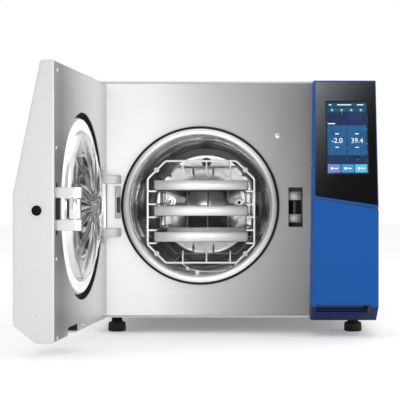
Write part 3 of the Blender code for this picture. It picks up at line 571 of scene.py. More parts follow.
def softened(node, edge, material=None, sharp=SHARP):
    """A finer piece in a node's place: the same shape with whole faces and small rounded edges."""
    bm = bmesh.new()
    bm.from_mesh(frame["nodes"][node].data)
    bmesh.ops.remove_doubles(bm, verts=bm.verts, dist=SAME_PLACE)
    bmesh.ops.dissolve_limit(bm, angle_limit=math.radians(FLAT), verts=bm.verts, edges=bm.edges)
    if edge:
        steep = math.radians(CORNER)
        corners = [e for e in bm.edges if len(e.link_faces) == 2 and e.calc_face_angle() > steep]
        bmesh.ops.bevel(bm, geom=corners, offset=edge * MM, segments=2, profile=0.5,
                        affect="EDGES", clamp_overlap=True)
    made = piece(node + "_finish", bm, Matrix.Identity(4), body_of(node), slot_of(node), (node,),
                 material, sharp)
    flat = made.modifiers.new("flat faces", "WEIGHTED_NORMAL")
    flat.keep_sharp = True
    return made


# ---- cabinet

def cabinet():
    softened("outer_cover", 0.5)
    softened("front_panel", 0.35, FRONT_STEEL_PAINTED_REFLECTION)
    softened("rear_panel", 0.35)
    softened("base_pan", 0.4)
    softened("tank_lid", 0.5)
    places = [(x, z) for x in (-236, -118, 0, 118, 236) for z in (434, 62)]
    places += [(x, z) for z in (170, 330) for x in (-236, 236)]
    screws = bmesh.new()
    for x, z in places:
        screw_head(screws, (x, REAR_FACE, z), 3.0)
    fitted("rear_screws", screws, "zinc_steel", material=SCREW)


def ribbed_foot(name, x, y):
    """A rubber foot whose rim is scalloped for grip, on a threaded neck."""
    bm = bmesh.new()
    steps, scallops, depth = 120, 20, 1.1
    levels = [(12.6, 0.0, 0), (15.0, 0.8, 0.4), (16.0, 2.4, 1), (15.8, 7, 1), (15.4, 13.4, 1)]
    levels += [(14.6, 15.6, 0.6), (13.0, 16.8, 0), (10.6, 17.2, 0)]
    rings = []
    for radius, z, groove in levels:
        ring = []
        for k, (cos, sin) in enumerate(circle(steps)):
            wave = math.cos(scallops * 2 * math.pi * k / steps)
            reach = radius - depth * groove * max(0.0, wave) ** 2
            ring.append(bm.verts.new((x + reach * cos, y + reach * sin, z)))
        rings.append(ring)
    bridge(bm, rings)
    bm.faces.new(rings[0])
    bm.faces.new(rings[-1])
    neck = [(0, 17.0), (10.2, 17.0)]
    for k in range(5):
        neck += [(10.0, 17.6 + 1.8 * k), (9.2, 18.5 + 1.8 * k)]
    neck += [(10.0, 26.4), (0, 26.4)]
    lathe(bm, neck, "Z", (x, y, 0), 40)
    fitted(name + "_ribbed", bm, "rubber", (name,))


def feet():
    for node in ("foot_front_left", "foot_front_right", "foot_rear_left", "foot_rear_right"):
        low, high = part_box(node)
        middle = ((low + high) / 2 - ORIGIN) / MM
        ribbed_foot(node, middle.x, middle.y)


# ---- chamber

def chamber():
    centre = (CHAMBER_X, 0, CHAMBER_Z)
    start = FLANGE_FACE + 10.3
    outer, corner, steps = CHAMBER_R + 2, 22, 144
    wall = [(outer, start), (outer, CHAMBER_END - 12), (CHAMBER_R - 23, CHAMBER_END + 2)]
    wall += [(0, CHAMBER_END + 2), (0, CHAMBER_END - 1)]
    for radius, depth in ((40, -1), (43, -2.5), (46, -1), (80, -0.5), (96, -0.3)):
        wall.append((radius, CHAMBER_END + depth))
    for k in range(7):
        turn = math.radians(90 * k / 6)
        wall.append((CHAMBER_R - corner + corner * math.sin(turn),
                     CHAMBER_END - corner + corner * math.cos(turn)))
    for seam in (330, 180, 60):
        wall += [(CHAMBER_R, seam + 3), (CHAMBER_R - 0.7, seam + 1), (CHAMBER_R - 0.7, seam - 1)]
        wall.append((CHAMBER_R, seam - 3))
    wall += [(CHAMBER_R, 14), (CHAMBER_R - 1.6, 9), (CHAMBER_R - 1.6, 4), (CHAMBER_R, start)]
    fitted("chamber_lining", turned(wall, centre, steps), "mirror_steel", ("chamber_vessel",), WALL_STEEL_PAINTED_SHADE)
    face, edge = FLANGE_FACE, FLANGE_R - 0.1
    rim = [(edge, face + 2.4), (edge, face + 10), (CHAMBER_R, face + 10), (CHAMBER_R, face + 4)]
    rim += [(CHAMBER_R + 0.4, face + 2.0), (CHAMBER_R + 1.6, face + 0.6), (CHAMBER_R + 3.4, face)]
    rim += [(FLANGE_R - 2.4, face), (FLANGE_R - 0.8, face + 0.7)]
    fitted("chamber_rim", turned(rim, centre, steps), "satin_steel", ("chamber_flange",), RIM_STEEL_PAINTED_REFLECTION)
    trim = [(FLANGE_R + 0.2, -0.3), (FLANGE_R + 0.2, face + 5), (FLANGE_R + 1.2, face + 4)]
    trim += [(TRIM_R - 1.6, face + 4.2), (TRIM_R - 0.3, face + 6), (TRIM_R, -1.6), (TRIM_R, -0.3)]
    fitted("chamber_gasket_trim", turned(trim, centre, steps), "rubber", ("chamber_trim_ring",))


def back_wall_fittings():
    back = CHAMBER_END - 1.2
    port = [(0, -1), (3.4, -1), (3.4, -12), (6, -12), (6.6, -11.4)]
    port += [(6.6, -4), (9.4, -4), (10, -3.4), (10, 0), (0, 0)]
    at = (CHAMBER_X, back, CHAMBER_Z + 90)
    fitted("steam_port_fine", turned(port, at, 40), "satin_steel", ("steam_inlet_port",), DARK_STEEL)
    probe = [(0, -34), (1.6, -33.6), (2.8, -32), (3, -30), (3, -15), (4, -14), (7, -14)]
    probe += [(8.4, -12), (9, -9), (9, -1), (11, -1), (11, 0), (0, 0)]
    at = (CHAMBER_X - 77, back, CHAMBER_Z + 6)
    fitted("probe_fine", turned(probe, at, 36), "mirror_steel", ("temperature_probe",))
    drain = [(0, -1), (3.4, -1), (3.4, -7.6), (3.9, -8), (7.2, -8), (7.8, -7.4)]
    drain += [(7.8, -3.4), (11, -3), (11.4, 0), (0, 0)]
    at = (CHAMBER_X + 70, back, CHAMBER_Z + 4)
    fitted("strainer_fine", turned(drain, at, 36), "satin_steel", ("drain_strainer",))
    # Painted shade: a near-black disc in the strainer's bore stands for its dark drain hole.
    hole = [(0, -1.6), (3.3, -1.6), (3.3, -0.9), (0, -0.9)]
    fitted("strainer_hole_painted_shade", turned(hole, at, 24), "satin_steel", material=DEEP_BLACK)


def lip_tab():
    """The small white tab at the bottom of the chamber's mouth."""
    bm = bmesh.new()
    left, right = CHAMBER_X - 9, CHAMBER_X - 2
    low = CHAMBER_Z - CHAMBER_R + 0.6
    block(bm, (left, 4.5, low + 1.6), (right, 8, low + 9), 0.8)
    block(bm, (left, 4.5, low + 1.4), (right, 24, low + 3.2), 0.5)
    fitted("lip_tab", bm, "white_plastic")


# ---- rack and trays

def rack_point(x, y, z):
    return Vector((CHAMBER_X + x, RACK_FRONT + y, z))


def octagon(y):
    """The outline of the rack's end frame."""
    wide, narrow = RACK_HALF
    low, high = RACK_Z
    drop = wide - narrow
    right = [(narrow, low), (wide, low + drop), (wide, high - drop), (narrow, high)]
    left = [(-x, z) for x, z in reversed(right)]
    return [rack_point(x, y, z) for x, z in right + left]


def peg(x, y, z, up, length, lean):
    """A wire peg that starts on the frame and curls over at its free end."""
    rise = length if up else -length
    path = [rack_point(x, y, z), rack_point(x, y, z + rise * 0.55)]
    path += [rack_point(x + lean * 0.35, y + 4, z + rise * 0.85), rack_point(x + lean, y + 8, z + rise)]
    return filleted(path, 5)


def along_rack(x, z):
    return [rack_point(x, 0, z), rack_point(x, RACK_LENGTH, z)]


def upright(x, y, low, high):
    return [rack_point(x, y, low), rack_point(x, y, high)]


def rack():
    bm = bmesh.new()
    frames = [filleted(octagon(y), 3.5, True) for y in (0, RACK_LENGTH)]
    wires(bm, frames, WIRE_R, True, 4)
    rails = []
    wide, rail_x = RACK_HALF[0], 82
    for side in (-1, 1):
        for k in range(5):
            z = RAIL_LOW + RAIL_PITCH * k
            run = [(side * wide, 0), (side * rail_x, 0)]
            run += [(side * rail_x, RACK_LENGTH), (side * wide, RACK_LENGTH)]
            rails.append(filleted([rack_point(x, y, z) for x, y in run], 3.5))
    wires(bm, rails, WIRE_R * 0.95, sides=4)
    low, high = RACK_Z
    thin = []
    for side in (-1, 1):
        thin += [along_rack(side * 50, z) for z in RACK_Z]
        thin.append(upright(side * 84, RACK_LENGTH - 60, RAIL_LOW, 251))
    for x, lean in ((-33, 9), (10, 5), (53, 1)):
        thin.append(peg(x, 0, high, False, 28, lean))
        thin.append(peg(x, 0, low, True, 21, 0))
    for x in (-28, 15):
        thin.append(peg(x, RACK_LENGTH, high, False, 16, 0))
        thin.append(peg(x, RACK_LENGTH, low, True, 16, 0))
    thin += [upright(x, RACK_LENGTH + 2.5, RAIL_LOW + 10, 262) for x in (-40, 3, 46)]
    wires(bm, thin, WIRE_R * 0.75)
    fitted("rack_wires", bm, "satin_steel", ("rack",), WIRE_STEEL, "rack", 60)


def rack_bumpers():
    """Rounded pads clipped over the frames' slanted corners."""
    wide, narrow = RACK_HALF
    low, high = RACK_Z
    middle = (wide + narrow) / 2
    drop = (wide - narrow) / 2
    half = [(4.9, 1.6), (4.4, 3.2), (3.0, 4.2), (0, 4.4)]
    pad = [(radius, -along) for radius, along in reversed(half)] + half
    bm = bmesh.new()
    for y in (0, RACK_LENGTH):
        for side in (-1, 1):
            for z in (low + drop, high - drop):
                lathe(bm, pad, "Y", rack_point(side * middle, y, z), 24)
    fitted("rack_bumpers", bm, "silicone", material=CREAM, body="rack")


def lift_wire():
    """The thin wire handle that folds down at the rack's front."""
    z = RACK_Z[0]
    drop = [rack_point(-36, 0, z), rack_point(-24, -3, z - 10)]
    for k in range(9):
        share = k / 8
        sag = 11 + 5.5 * math.sin(math.pi * share)
        drop.append(rack_point(-20 + 72 * share, -4, z - sag))
    drop += [rack_point(58, -3, z - 8), rack_point(66, 0, z)]
    bm = wires(bmesh.new(), [filleted(drop, 3)], 0.8)
    for x in (-24, 55):
        block(bm, rack_point(x - 2, -6, z - 13), rack_point(x + 2, -2, z - 7), 0.6)
    fitted("rack_lift_wire", bm, "satin_steel", material=WIRE_STEEL, body="rack")


def tray(name, bottom):
    """A folded tray with a rolled rim, rounded corners and drain holes pressed in its floor."""
    bm = bmesh.new()
    x0, x1 = CHAMBER_X - TRAY_HALF, CHAMBER_X + TRAY_HALF
    y0, y1 = RACK_FRONT + 5, RACK_FRONT + 5 + TRAY_LENGTH
    rings = []
    levels = [(2.4, 0.0), (1.2, 0.35), (0.5, 1.2), (0, 2.6), (0, TRAY_H - 1.1), (0.3, TRAY_H - 0.3),
              (0.9, TRAY_H), (1.5, TRAY_H - 0.4), (1.5, 2.4), (2.6, 1.2)]
    for inset, z in levels:
        outline = rounded_rectangle(x0 + inset, x1 - inset, y0 + inset, y1 - inset, max(0.6, 4.0 - inset))
        rings.append([bm.verts.new((x, y, bottom + z)) for x, y in outline])
    bridge(bm, rings)
    bm.faces.new(rings[0])
    bm.faces.new(list(reversed(rings[-1])))
    body = f"tray_{name}"
    fitted(f"{body}_folded", bm, "satin_steel", (body,), TRAY_STEEL_PAINTED_SHADING, body)
    holes = bmesh.new()
    pitch = 22
    ring = [(4.2, -0.2), (4.2, 0.35), (3.2, 0.35), (2.9, -0.2)]
    for i in range(7):
        for j in range(15):
            at = (CHAMBER_X - 3 * pitch + pitch * i, y0 + 26 + pitch * j, bottom + 1.25)
            lathe(holes, ring, "Z", at, 16)
    fitted(f"{body}_holes", holes, "satin_steel", material=SCREW, body=body)


# ---- door

def between_0_and_1(value):
    return max(0.0, min(1.0, value))


def dish_height(radius, angle):
    """How far the closure's pressed dish stands back, with ribs that run out from its hub."""
    lip, start = 2, 23
    if radius > DISH_R:
        return DISH_RIM + lip * between_0_and_1((DISH_R + lip - radius) / lip)
    inner = between_0_and_1((radius - start) / (DISH_R - start))
    base = DISH_RIM + lip + DISH_DEPTH * math.sin(math.acos(inner)) ** 0.8
    spacing = 360 / DISH_RIBS
    phase = (math.degrees(angle) - spacing / 2) % spacing
    off = min(phase, spacing - phase) * math.pi / 180 * radius
    width = 3.6 + 5.4 * inner
    fade = between_0_and_1((radius - 21) / 8) * between_0_and_1((113 - radius) / 16)
    return base - RIB_HEIGHT * fade * math.exp(-(off / width) ** 2)


def closure_dish():
    bm = bmesh.new()
    steps = 288
    radii = [6, 12, 18, 20, 22, 24, 27] + [31 + 4.2 * k for k in range(20)]
    radii += [113, 115, 117, 118.4, 119.4, 120.4, 121.2, 123, 132, 141, 142.6, 143.3]
    centre = bm.verts.new((DOOR_CENTRE, dish_height(0, 0) + HUB_RISE, CHAMBER_Z))
    rings = []
    for radius in radii:
        ring = []
        for k, (cos, sin) in enumerate(circle(steps)):
            height = dish_height(radius, 2 * math.pi * k / steps)
            if radius < HUB_R:
                height += HUB_RISE
            if radius > DISC_EDGE_R:
                height -= 0.8 * (radius - DISC_EDGE_R)
            ring.append(bm.verts.new((DOOR_CENTRE + radius * cos, height, CHAMBER_Z + radius * sin)))
        rings.append(ring)
    back = [bm.verts.new((v.co.x, DOOR_FACE - 9, v.co.z)) for v in rings[-1]]
    rings.append(back)
    for k in range(steps):
        bm.faces.new((centre, rings[0][(k + 1) % steps], rings[0][k]))
    bridge(bm, rings)
    bm.faces.new(back)
    on_door("closure_dish", bm, "mirror_steel", ("closure_disc",), DISH_STEEL, sharp=60)


def closure():
    closure_dish()
    at = (DOOR_CENTRE, 0, CHAMBER_Z)
    seat = DISH_RIM + 0.1
    seal = [(122.0, seat), (122.0, 1.6), (122.8, 2.5), (124.5, 2.6), (126.5, 1.9), (131, 1.8)]
    seal += [(134, 2.6), (138.5, 2.5), (140.4, 1.4), (141.0, 0.0), (141.0, seat)]
    on_door("door_gasket", turned(seal, at, 144), "silicone", ("door_seal",))
    inner, outer = WELL_R
    bowl = [(inner, -8.2), (outer, -8.2), (outer, 3.2), (152, 3.2), (152, -5.2), (inner, -5.2)]
    well = turned(bowl, at, 120)
    for v in well.verts:  # flat where the hinge arms stand when the door is shut
        radius = math.hypot(v.co.x - DOOR_CENTRE, v.co.z - CHAMBER_Z)
        v.co.x = max(v.co.x, 34.5 + 0.3 * (outer - radius))
    on_door("closure_well", well, "rubber", material=DEEP_BLACK)


def door_panel_screws():
    bm = bmesh.new()
    places = [(346, 427), (178, 431), (9, 429), (346, 32), (172, 33), (9, 34)]
    places += [(352, 312), (352, 149), (15, 296), (15, 154)]
    for u, z in places:
        screw_head(bm, (u, DOOR_FACE, z), 3.3)
    on_door("door_panel_screws", bm, "mirror_steel", material=SCREW)


def door_side_bush():
    """Deep black bush in the sunk hole of the door's free edge."""
    at = (DOOR_FAR, DOOR_FACE - 27, 220)
    bush = [(0, -14), (8.6, -14), (8.6, -3.2), (11.8, -3.2), (11.8, -2.0), (8.6, -1.6)]
    bush += [(8.2, -2.4), (8.2, -12), (0, -12)]
    on_door("door_side_bush", turned(bush, at, 48, "X"), "rubber", material=DEEP_BLACK)


def latch():
    softened("latch_clevis", 1.0)
    at = (LATCH_U, LATCH_V, LATCH_Z)
    half = 15.4
    profile = [(4.2, -half), (9.6, -half), (10.6, -half + 0.8), (10.9, -half + 1.8)]
    profile += [(radius, -along) for radius, along in reversed(profile)]
    roller = turned(profile, at, 64, "Z")
    on_door("latch_roller_polished", roller, "mirror_steel", ("latch_roller",), body="latch_roller")
    pin = [(0, -31.2), (3.2, -31.2), (3.7, -30.6), (3.7, 30.6), (3.2, 31.2), (0, 31.2)]
    on_door("latch_pin_fine", turned(pin, at, 32, "Z"), "mirror_steel", ("latch_pin",))
    slots = bmesh.new()
    low = DOOR_FACE - 1
    for z in (LATCH_Z + 35.5, LATCH_Z - 35.5):
        block(slots, (LATCH_U + 3, low, z - 3), (LATCH_U + 13, DOOR_FACE + 0.4, z + 3), 0.6)
    block(slots, (LATCH_U - 2, low, LATCH_Z - 15), (LATCH_U + 14, DOOR_FACE + 0.3, LATCH_Z + 15), 0.6)
    on_door("latch_slot_seals", slots, "rubber")


def door_hinge():
    for node in ("hinge_arm_upper", "hinge_arm_lower"):
        softened(node, 0.8, HINGE_STEEL_PAINTED_SHADE)
    softened("hinge_barrel", 0.0, sharp=40)
    axis = (0, 0, 0)
    tube = [(7.9, 186), (8.6, 186.6), (8.6, 190), (8.1, 190.8), (8.1, 258.4), (8.6, 259.2)]
    tube += [(8.6, 262.6), (7.9, 263.2)]
    piece("hinge_sleeve", turned(tube, axis, 64, "Z"), UPRIGHT_HINGE, "door", "satin_steel")
    pin = [(0, 168.6), (4, 168.8), (5.6, 169.6), (5.6, 170.4), (4.5, 170.6), (4.5, 278.8)]
    pin += [(5.6, 279), (5.6, 279.8), (4, 280.2), (0, 280.4)]
    piece("hinge_pin_fine", turned(pin, axis, 40, "Z"), UPRIGHT_HINGE, "cabinet", "mirror_steel",
          ("hinge_pin",))


def door():
    softened("door_shell", 0.0, sharp=40)
    softened("door_inner_panel", 0.3, DOOR_STEEL_PAINTED_REFLECTION)
    softened("closure_crossbar", 0.8)
    closure()
    door_panel_screws()
    door_side_bush()
    latch()
    door_hinge()


# ---- front fittings and lock

def front_fittings():
    softened("door_sensor", 0.5)
    window = block(bmesh.new(), (-209, -5.2, 213), (-203.2, -3.3, 239.5), 0.5)
    fitted("sensor_window", window, "grey_plastic", material=DARK_STEEL)
    dome = [(0, -3.0), (1.2, -3.0), (3.2, -2.7), (4.8, -2.0), (5.7, -1.1), (6, -0.1), (0, -0.1)]
    fitted("plug_dome", turned(dome, (75.7, 0, 349), 48), "mirror_steel", ("panel_plug",))


def latch_window():
    """Dark liner of the latch window, which is the receiver coloured dark as painted shade, with the receiver's
    two blocks and the buffer between them.
    """
    x, z = HINGE_X + LATCH_U, LATCH_Z
    # painted shade: the receiver is coloured dark steel to stand for the shade inside the window
    softened("lock_receiver", 0.0, DARK_STEEL)
    softened("lock_hook", 0.6)
    blocks = bmesh.new()
    for low in (z + 12.3, z - 28.7):
        block(blocks, (x - 12.4, 29.7, low), (x + 12.4, 51, low + 16.4), 1.2)
    fitted("receiver_blocks", blocks, "satin_steel", material=HOOK_STEEL)
    half = 12.1
    pad = [(0, -half), (9.6, -half), (10.5, -half + 0.8), (10.5, half - 0.8), (9.6, half), (0, half)]
    fitted("lock_buffer_fine", turned(pad, (x, 39, z), 48, "Z"), "rubber", ("lock_buffer",), DARK_STEEL)


# ---- column

def slope_frame():
    """The sloped face's upward and outward directions; X runs across it."""
    up = (SLOPE_HIGH - SLOPE_LOW).normalized()
    return up, Vector((1, 0, 0)).cross(up)


def slope_matrix(reach):
    """Places a flat (x, height) drawing on the sloped face, `reach` millimetres out of it."""
    up, out = slope_frame()
    base = Vector((0, SLOPE_LOW.y, SLOPE_LOW.z)) + out * reach
    place = Matrix((
        (1, up.x, out.x, base.x),
        (0, up.y, out.y, base.y),
        (0, up.z, out.z, base.z),
        (0, 0, 0, 1),
    ))
    return CABINET @ place


def on_slope(z):
    """Height along the slope for a height above the table."""
    return (z - SLOPE_LOW.z) / slope_frame()[0].z


def screen_box():
    """The display's left, right, lower and upper edges in the sloped face's drawing."""
    return (*SCREEN_X, on_slope(SCREEN_Z[0]), on_slope(SCREEN_Z[1]))


def on_screen(across, down):
    """A place on the display from its shares of the width, rightwards, and the height, downwards."""
    left, right, low, high = screen_box()
    return left + across * (right - left), high - down * (high - low)


def screen_plate(name, left, right, top, bottom, material, lift=0.12, corner=0.8):
    """A lit plate on the display; its edges are shares of the display's width and height."""
    x0, y0 = on_screen(left, bottom)
    x1, y1 = on_screen(right, top)
    bm = prism(bmesh.new(), rounded_rectangle(x0, x1, y0, y1, corner), "Z", 0, lift)
    place = slope_matrix(-SCREEN_SUNK)
    piece("display_" + name, bm, place, "cabinet", "screen_glass", material=material)


def screen_figures(name, text, across):
    """Generic figures on the display."""
    font = bpy.data.curves.new(name, "FONT")
    font.body = text
    font.size = 12.5
    font.align_x = "CENTER"
    font.extrude = 0.06
    holder = bpy.data.objects.new(name + "_guide", font)
    mesh = bpy.data.meshes.new_from_object(holder)
    bpy.data.objects.remove(holder)
    bpy.data.curves.remove(font)
    at = Matrix.Translation((*on_screen(across, 0.575), 0))
    mesh.transform(slope_matrix(-0.6) @ at)
    mesh_piece(name, mesh, "cabinet", "screen_glass", material=TEXT_GLOW)


def display():
    slab = prism(bmesh.new(), rounded_rectangle(*screen_box(), 1.5), "Z", -7, 0, 0.2)
    place = slope_matrix(-SCREEN_SUNK - 0.05)
    piece("display_ground", slab, place, "cabinet", "screen_glass", ("touch_screen",), DISPLAY)
    screen_plate("status", 0.02, 0.98, 0.012, 0.068, TAB_GLOW, 0.05)
    for k in range(4):
        left = 0.03 + 0.2375 * k
        screen_plate(f"tab_{k}", left, left + 0.225, 0.082, 0.148, TAB_GLOW)
        screen_plate(f"tab_mark_{k}", left + 0.085, left + 0.14, 0.10, 0.13, MARK_GLOW, 0.2, 0.6)
    for k, (left, right) in enumerate(((0.06, 0.13), (0.27, 0.62), (0.76, 0.92))):
        screen_plate(f"status_bar_{k}", left, right, 0.034, 0.047, TEXT_GLOW, 0.12, 0.3)
    screen_plate("label", 0.03, 0.21, 0.298, 0.312, TEXT_GLOW, 0.1, 0.3)
    for k, (left, right) in enumerate(((0.02, 0.49), (0.51, 0.98))):
        middle = (left + right) / 2
        text = (middle - 0.045, middle + 0.045)
        screen_plate(f"value_{k}", left, right, 0.33, 0.745, PANEL_GLOW, 0.12, 1.0)
        screen_plate(f"value_name_{k}", *text, 0.44, 0.455, TEXT_GLOW, 0.2, 0.3)
        screen_plate(f"value_unit_{k}", *text, 0.63, 0.642, TEXT_GLOW, 0.2, 0.3)
    screen_figures("display_figures_left", "-2.0", 0.255)
    screen_figures("display_figures_right", "39.4", 0.745)
    for k, material in enumerate(BUTTON_GLOWS):
        left = 0.02 + 0.33 * k
        mark, text = (left + 0.07, left + 0.13), (left + 0.15, left + 0.25)
        screen_plate(f"button_{k}", left, left + 0.305, 0.872, 0.985, material, 0.25, 1.0)
        screen_plate(f"button_mark_{k}", *mark, 0.914, 0.944, TEXT_GLOW, 0.35, 0.8)
        screen_plate(f"button_name_{k}", *text, 0.922, 0.936, TEXT_GLOW, 0.35, 0.3)


def display_bezel():
    """Thin raised frame round the display."""
    left, right, low, high = screen_box()
    bm = bmesh.new()
    inner = rounded_rectangle(left - 0.1, right + 0.1, low - 0.1, high + 0.1, 1.6)
    outer = rounded_rectangle(left - 1.5, right + 1.5, low - 1.6, high + 1.5, 2.4)
    rings = []
    for outline, reach in ((inner, -SCREEN_SUNK), (inner, 0.35), (outer, 0.55), (outer, 0.2)):
        rings.append([bm.verts.new((x, y, reach)) for x, y in outline])
    bridge(bm, rings + rings[:1])
    piece("display_bezel", bm, slope_matrix(0), "cabinet", "black_gloss")


def finger_recess():
    """The curved lining of the service cover's finger recess, with its slanted dark end; the lining's dark navy
    and the end's black are painted shade.
    """
    left, right = RECESS_X
    back, top = -50.3, 55.8
    bm = bmesh.new()
    lining = [(-72.5, top), (back, top), (back, 46), (-52, 43.4), (-57.5, 40.6), (-58.4, 41.6)]
    lining += [(-53.4, 44.4), (-51.8, 46.6), (-51.8, 54.4), (-72.5, 54.4)]
    prism(bm, lining, "X", left, right)
    prism(bm, [(-72, top), (back, top), (back, 44.2), (-57.2, 41)], "X", left, left + 1.3)
    # painted shade: the lining is a darker navy than the cover
    fitted("finger_recess_lining", bm, "blue_plastic", material=RECESS_PAINTED_SHADE, body="service_cover")
    # painted shade: the slanted end is a black wedge
    outline = [(224, -52), (right, -52), (right, -70), (228, -70)]
    wedge = prism(bmesh.new(), outline, "Z", 41.8, 54.3, 0.5)
    fitted("finger_recess_painted_shade_end", wedge, "black_plastic", body="service_cover")
    ledge = [(-66, 46.2), (-60, 47.8), (-52, 48.4), (-52, 46.2), (-60, 45.2)]
    shelf = prism(bmesh.new(), ledge, "X", left + 1.5, 224, 0.4)
    fitted("finger_recess_ledge", shelf, "blue_plastic", body="service_cover")


def groove_painted_shade_strip():
    """Dark strip behind the slanted groove between the upper shell and the service cover; its dark colour is
    painted shade in the groove.
    """
    left, right, back = 136.5, 245.4, -2
    low_at_left, low_at_right, height = 231.5, 209.0, 13
    outer = ((left, back), (left, -69.5), (right, -74.4), (right, back))
    inner = ((left + 2, back), (left + 2, -67.5), (right - 3, -71.4), (right - 3, back))
    bm = bmesh.new()
    rings = []
    for lift, outline in ((0, outer), (height, outer), (height, inner), (0, inner)):
        ring = []
        for x, y in outline:
            share = (x - left) / (right - left)
            ring.append(bm.verts.new((x, y, low_at_left + share * (low_at_right - low_at_left) + lift)))
        rings.append(ring)
    for first, second in zip(rings, rings[1:] + rings[:1]):
        for k in range(3):
            bm.faces.new((first[k], first[k + 1], second[k + 1], second[k]))
    bm.faces.new([ring[0] for ring in rings])
    bm.faces.new([ring[3] for ring in reversed(rings)])
    # painted shade: the strip's dark navy
    fitted("groove_painted_shade_strip", bm, "blue_plastic", material=RECESS_PAINTED_SHADE)


def column():
    shell = softened("column_shell", 0.0, sharp=40)
    # the service cover's chin carries painted shade
    cover = softened("service_cover", 0.0, blue_with_painted_chin_shade(), sharp=40)
    for made in (shell, cover):
        made.visible_glossy = False  # the steel beside it keeps a neutral reflection
    groove_painted_shade_strip()
    softened("fascia", 0.25, FASCIA_PAINTED_HIGHLIGHT)
    softened("drain_ports", 0.5)
    display()
    display_bezel()
    finger_recess()


# ---- rear

def fan_guard():
    x, z = FAN_AT
    bm = bmesh.new()
    rings = []
    for radius in (12, 20, 28, 36, 43):
        rings.append([(x + radius * cos, REAR_FACE + 2.2, z + radius * sin) for cos, sin in circle(48)])
    wires(bm, rings, 0.9, True)
    turns = [math.radians(turn) for turn in (45, 135, 225, 315)]
    spokes = []
    for turn in turns:
        cos, sin = math.cos(turn), math.sin(turn)
        spokes.append([(x + r * cos, REAR_FACE + 3.4, z + r * sin) for r in (10, 52)])
    wires(bm, spokes, 1.1)
    for turn in turns:
        screw_head(bm, (x + 52 * math.cos(turn), REAR_FACE + 2.6, z + 52 * math.sin(turn)), 3.6)
    fitted("fan_guard", bm, "zinc_steel")


def turned_at(name, node, profile, at, y, steps, slot):
    """A turned fitting in a node's place on the rear panel; its profile starts at `y`."""
    x, z = at
    fitted(name, turned(profile, (x, y, z), steps), slot, (node,))


def rear_fittings():
    softened("fan_frame", 0.6)
    softened("fan_rotor", 0.3)
    softened("power_inlet", 0.4)
    softened("power_switch", 0.4)
    fan_guard()
    pins = bmesh.new()
    inlet_x, inlet_z = INLET_AT
    for x, z in ((inlet_x - 6, inlet_z), (inlet_x + 6, inlet_z), (inlet_x, inlet_z + 5)):
        block(pins, (x - 1, REAR_FACE - 8, z - 2), (x + 1, REAR_FACE + 3, z + 2), 0.4)
    fitted("inlet_pins", pins, "brass")
    valve = [(0, 0), (11, 0), (11, 2), (9.5, 3), (9.5, 6), (11, 7), (11, 13.4), (9, 15)]
    valve += [(7.6, 16), (7.6, 21), (6.6, 22), (4.4, 22), (3.6, 24), (0, 24)]
    turned_at("safety_valve_turned", "safety_valve", valve, VALVE_AT, REAR_FACE - 4, 48, "brass")
    barb = [(0, -2), (8, -2), (8, 7.4), (7, 8.6), (5.4, 9), (6.4, 11), (5.2, 13), (6.2, 15)]
    barb += [(5.0, 17), (5.6, 19.4), (5, 20), (0, 20)]
    turned_at("drain_coupling_turned", "drain_coupling", barb, COUPLING_AT, REAR_FACE, 48, "brass")
    x, z = VALVE_AT
    ring = [(x, REAR_FACE + 12.6 + 6 * cos, z + 13 + 9 * sin) for cos, sin in circle(32)]
    fitted("valve_pull_ring", wires(bmesh.new(), [ring], 0.9, True), "mirror_steel")
    fins = [(0, 0.3), (10, 0.3), (10, 4)]
    for k in range(5):
        fins += [(14.6, 4 + 4 * k), (16.6, 5 + 4 * k), (17, 6 + 4 * k), (16.6, 7 + 4 * k)]
        fins.append((14.8, 7.8 + 4 * k))
    fins += [(13, 24), (0, 24)]
    turned_at("air_filter_finned", "air_filter", fins, FILTER_AT, REAR_FACE, 56, "white_plastic")


# ---- studio

def light(name, place, aim, size, power):
    """A soft area light that the camera doesn't see."""
    data = bpy.data.lights.new(name, "AREA")
    data.shape = "RECTANGLE"
    data.size, data.size_y = size
    data.energy = power
    made = add_to_scene(name, data)
    made.location = place
    made.rotation_euler = (Vector(aim) - Vector(place)).to_track_quat("-Z", "Y").to_euler()
    made.visible_camera = False


def paper_floor():
    bm = bmesh.new()
    bmesh.ops.create_grid(bm, x_segments=1, y_segments=1, size=9.0)
    mesh = bpy.data.meshes.new("floor")
    bm.to_mesh(mesh)
    bm.free()
    paper = look("floor", (0.88, 0.88, 0.88), 0.75, vary=0.01, scale=6, bump=0.02)
    inputs = nodes_of(paper)[1]
    inputs["Emission Color"].default_value = (1, 1, 1, 1)
    inputs["Emission Strength"].default_value = 0.15
    mesh.materials.append(paper)
    ground = add_to_scene("floor", mesh)
    ground.location.z = cad_low.z - 0.0002


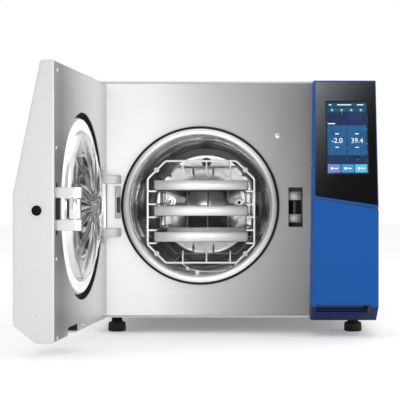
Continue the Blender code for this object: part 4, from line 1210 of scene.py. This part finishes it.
def sky():
    """White all round, but grey towards the front, where the panel and the door face."""
    world = bpy.data.worlds.new("studio")
    bpy.context.scene.world = world
    world.use_nodes = True
    tree = world.node_tree
    split = add_node(tree, "ShaderNodeSeparateXYZ")
    coords = add_node(tree, "ShaderNodeTexCoord")
    tree.links.new(coords.outputs["Generated"], split.inputs["Vector"])
    share = spread(tree, split.outputs["Y"], 0.0, 1.0, -1.0, -0.1)
    stops = [(0.0, (0.48, 0.48, 0.49)), (0.5, (0.68, 0.68, 0.69)), (1.0, (1.0, 1.0, 1.0))]
    tree.links.new(colour_ramp(tree, share, stops), tree.nodes["Background"].inputs["Color"])
    tree.nodes["Background"].inputs["Strength"].default_value = 1.0


def studio():
    paper_floor()
    sky()
    light("key", (-1.7, -1.9, 1.7), (0, 0, 0.2), (1.4, 1.4), 4)
    light("left_card", (-1.3, -2.3, 0.5), (0, -0.1, 0.25), (1.5, 2.2), 4)
    light("right_card", (1.6, -0.9, 0.7), (-0.2, -0.3, 0.25), (0.8, 1.8), 13)
    light("front_card", (-0.02, -2.6, 0.26), (-0.02, 0, 0.24), (0.4, 0.24), 1.0)
    mouth = Vector((ORIGIN.x + CHAMBER_X * MM, ORIGIN.y, 0.242))
    light("chamber_fill", mouth - Vector((0, 0.75, 0)), mouth, (0.26, 0.10), 0.5)
    light("top", (0.1, 0.2, 2.0), (0, 0, 0.2), (2.0, 2.0), 5)


def camera():
    data = bpy.data.cameras.new("camera")
    data.lens = 107.7
    data.sensor_width = 36.0
    data.shift_x = -0.0915
    data.shift_y = -0.0025
    made = add_to_scene("camera", data)
    made.location = (ORIGIN.x + 0.003, ORIGIN.y - 2.122, 0.237)
    made.rotation_euler = (math.radians(90), 0, 0)
    bpy.context.scene.camera = made
    bpy.context.scene.view_settings.view_transform = "Standard"


def finish_cad_nodes():
    """Every CAD node gets the look of its slot, whether it stays visible or is replaced."""
    for part in frame["record"]["subparts"]:
        node = frame["nodes"][part["node"]]
        node.data.materials.clear()
        node.data.materials.append(LOOKS[part["material_slot"]])


finish_cad_nodes()
cabinet()
feet()
chamber()
back_wall_fittings()
lip_tab()
rack()
rack_bumpers()
lift_wire()
for number, tray_name in enumerate(("lower", "middle", "upper")):
    tray(tray_name, TRAY_LOW + 2 * RAIL_PITCH * number)
door()
front_fittings()
latch_window()
column()
rear_fittings()
studio()
camera()
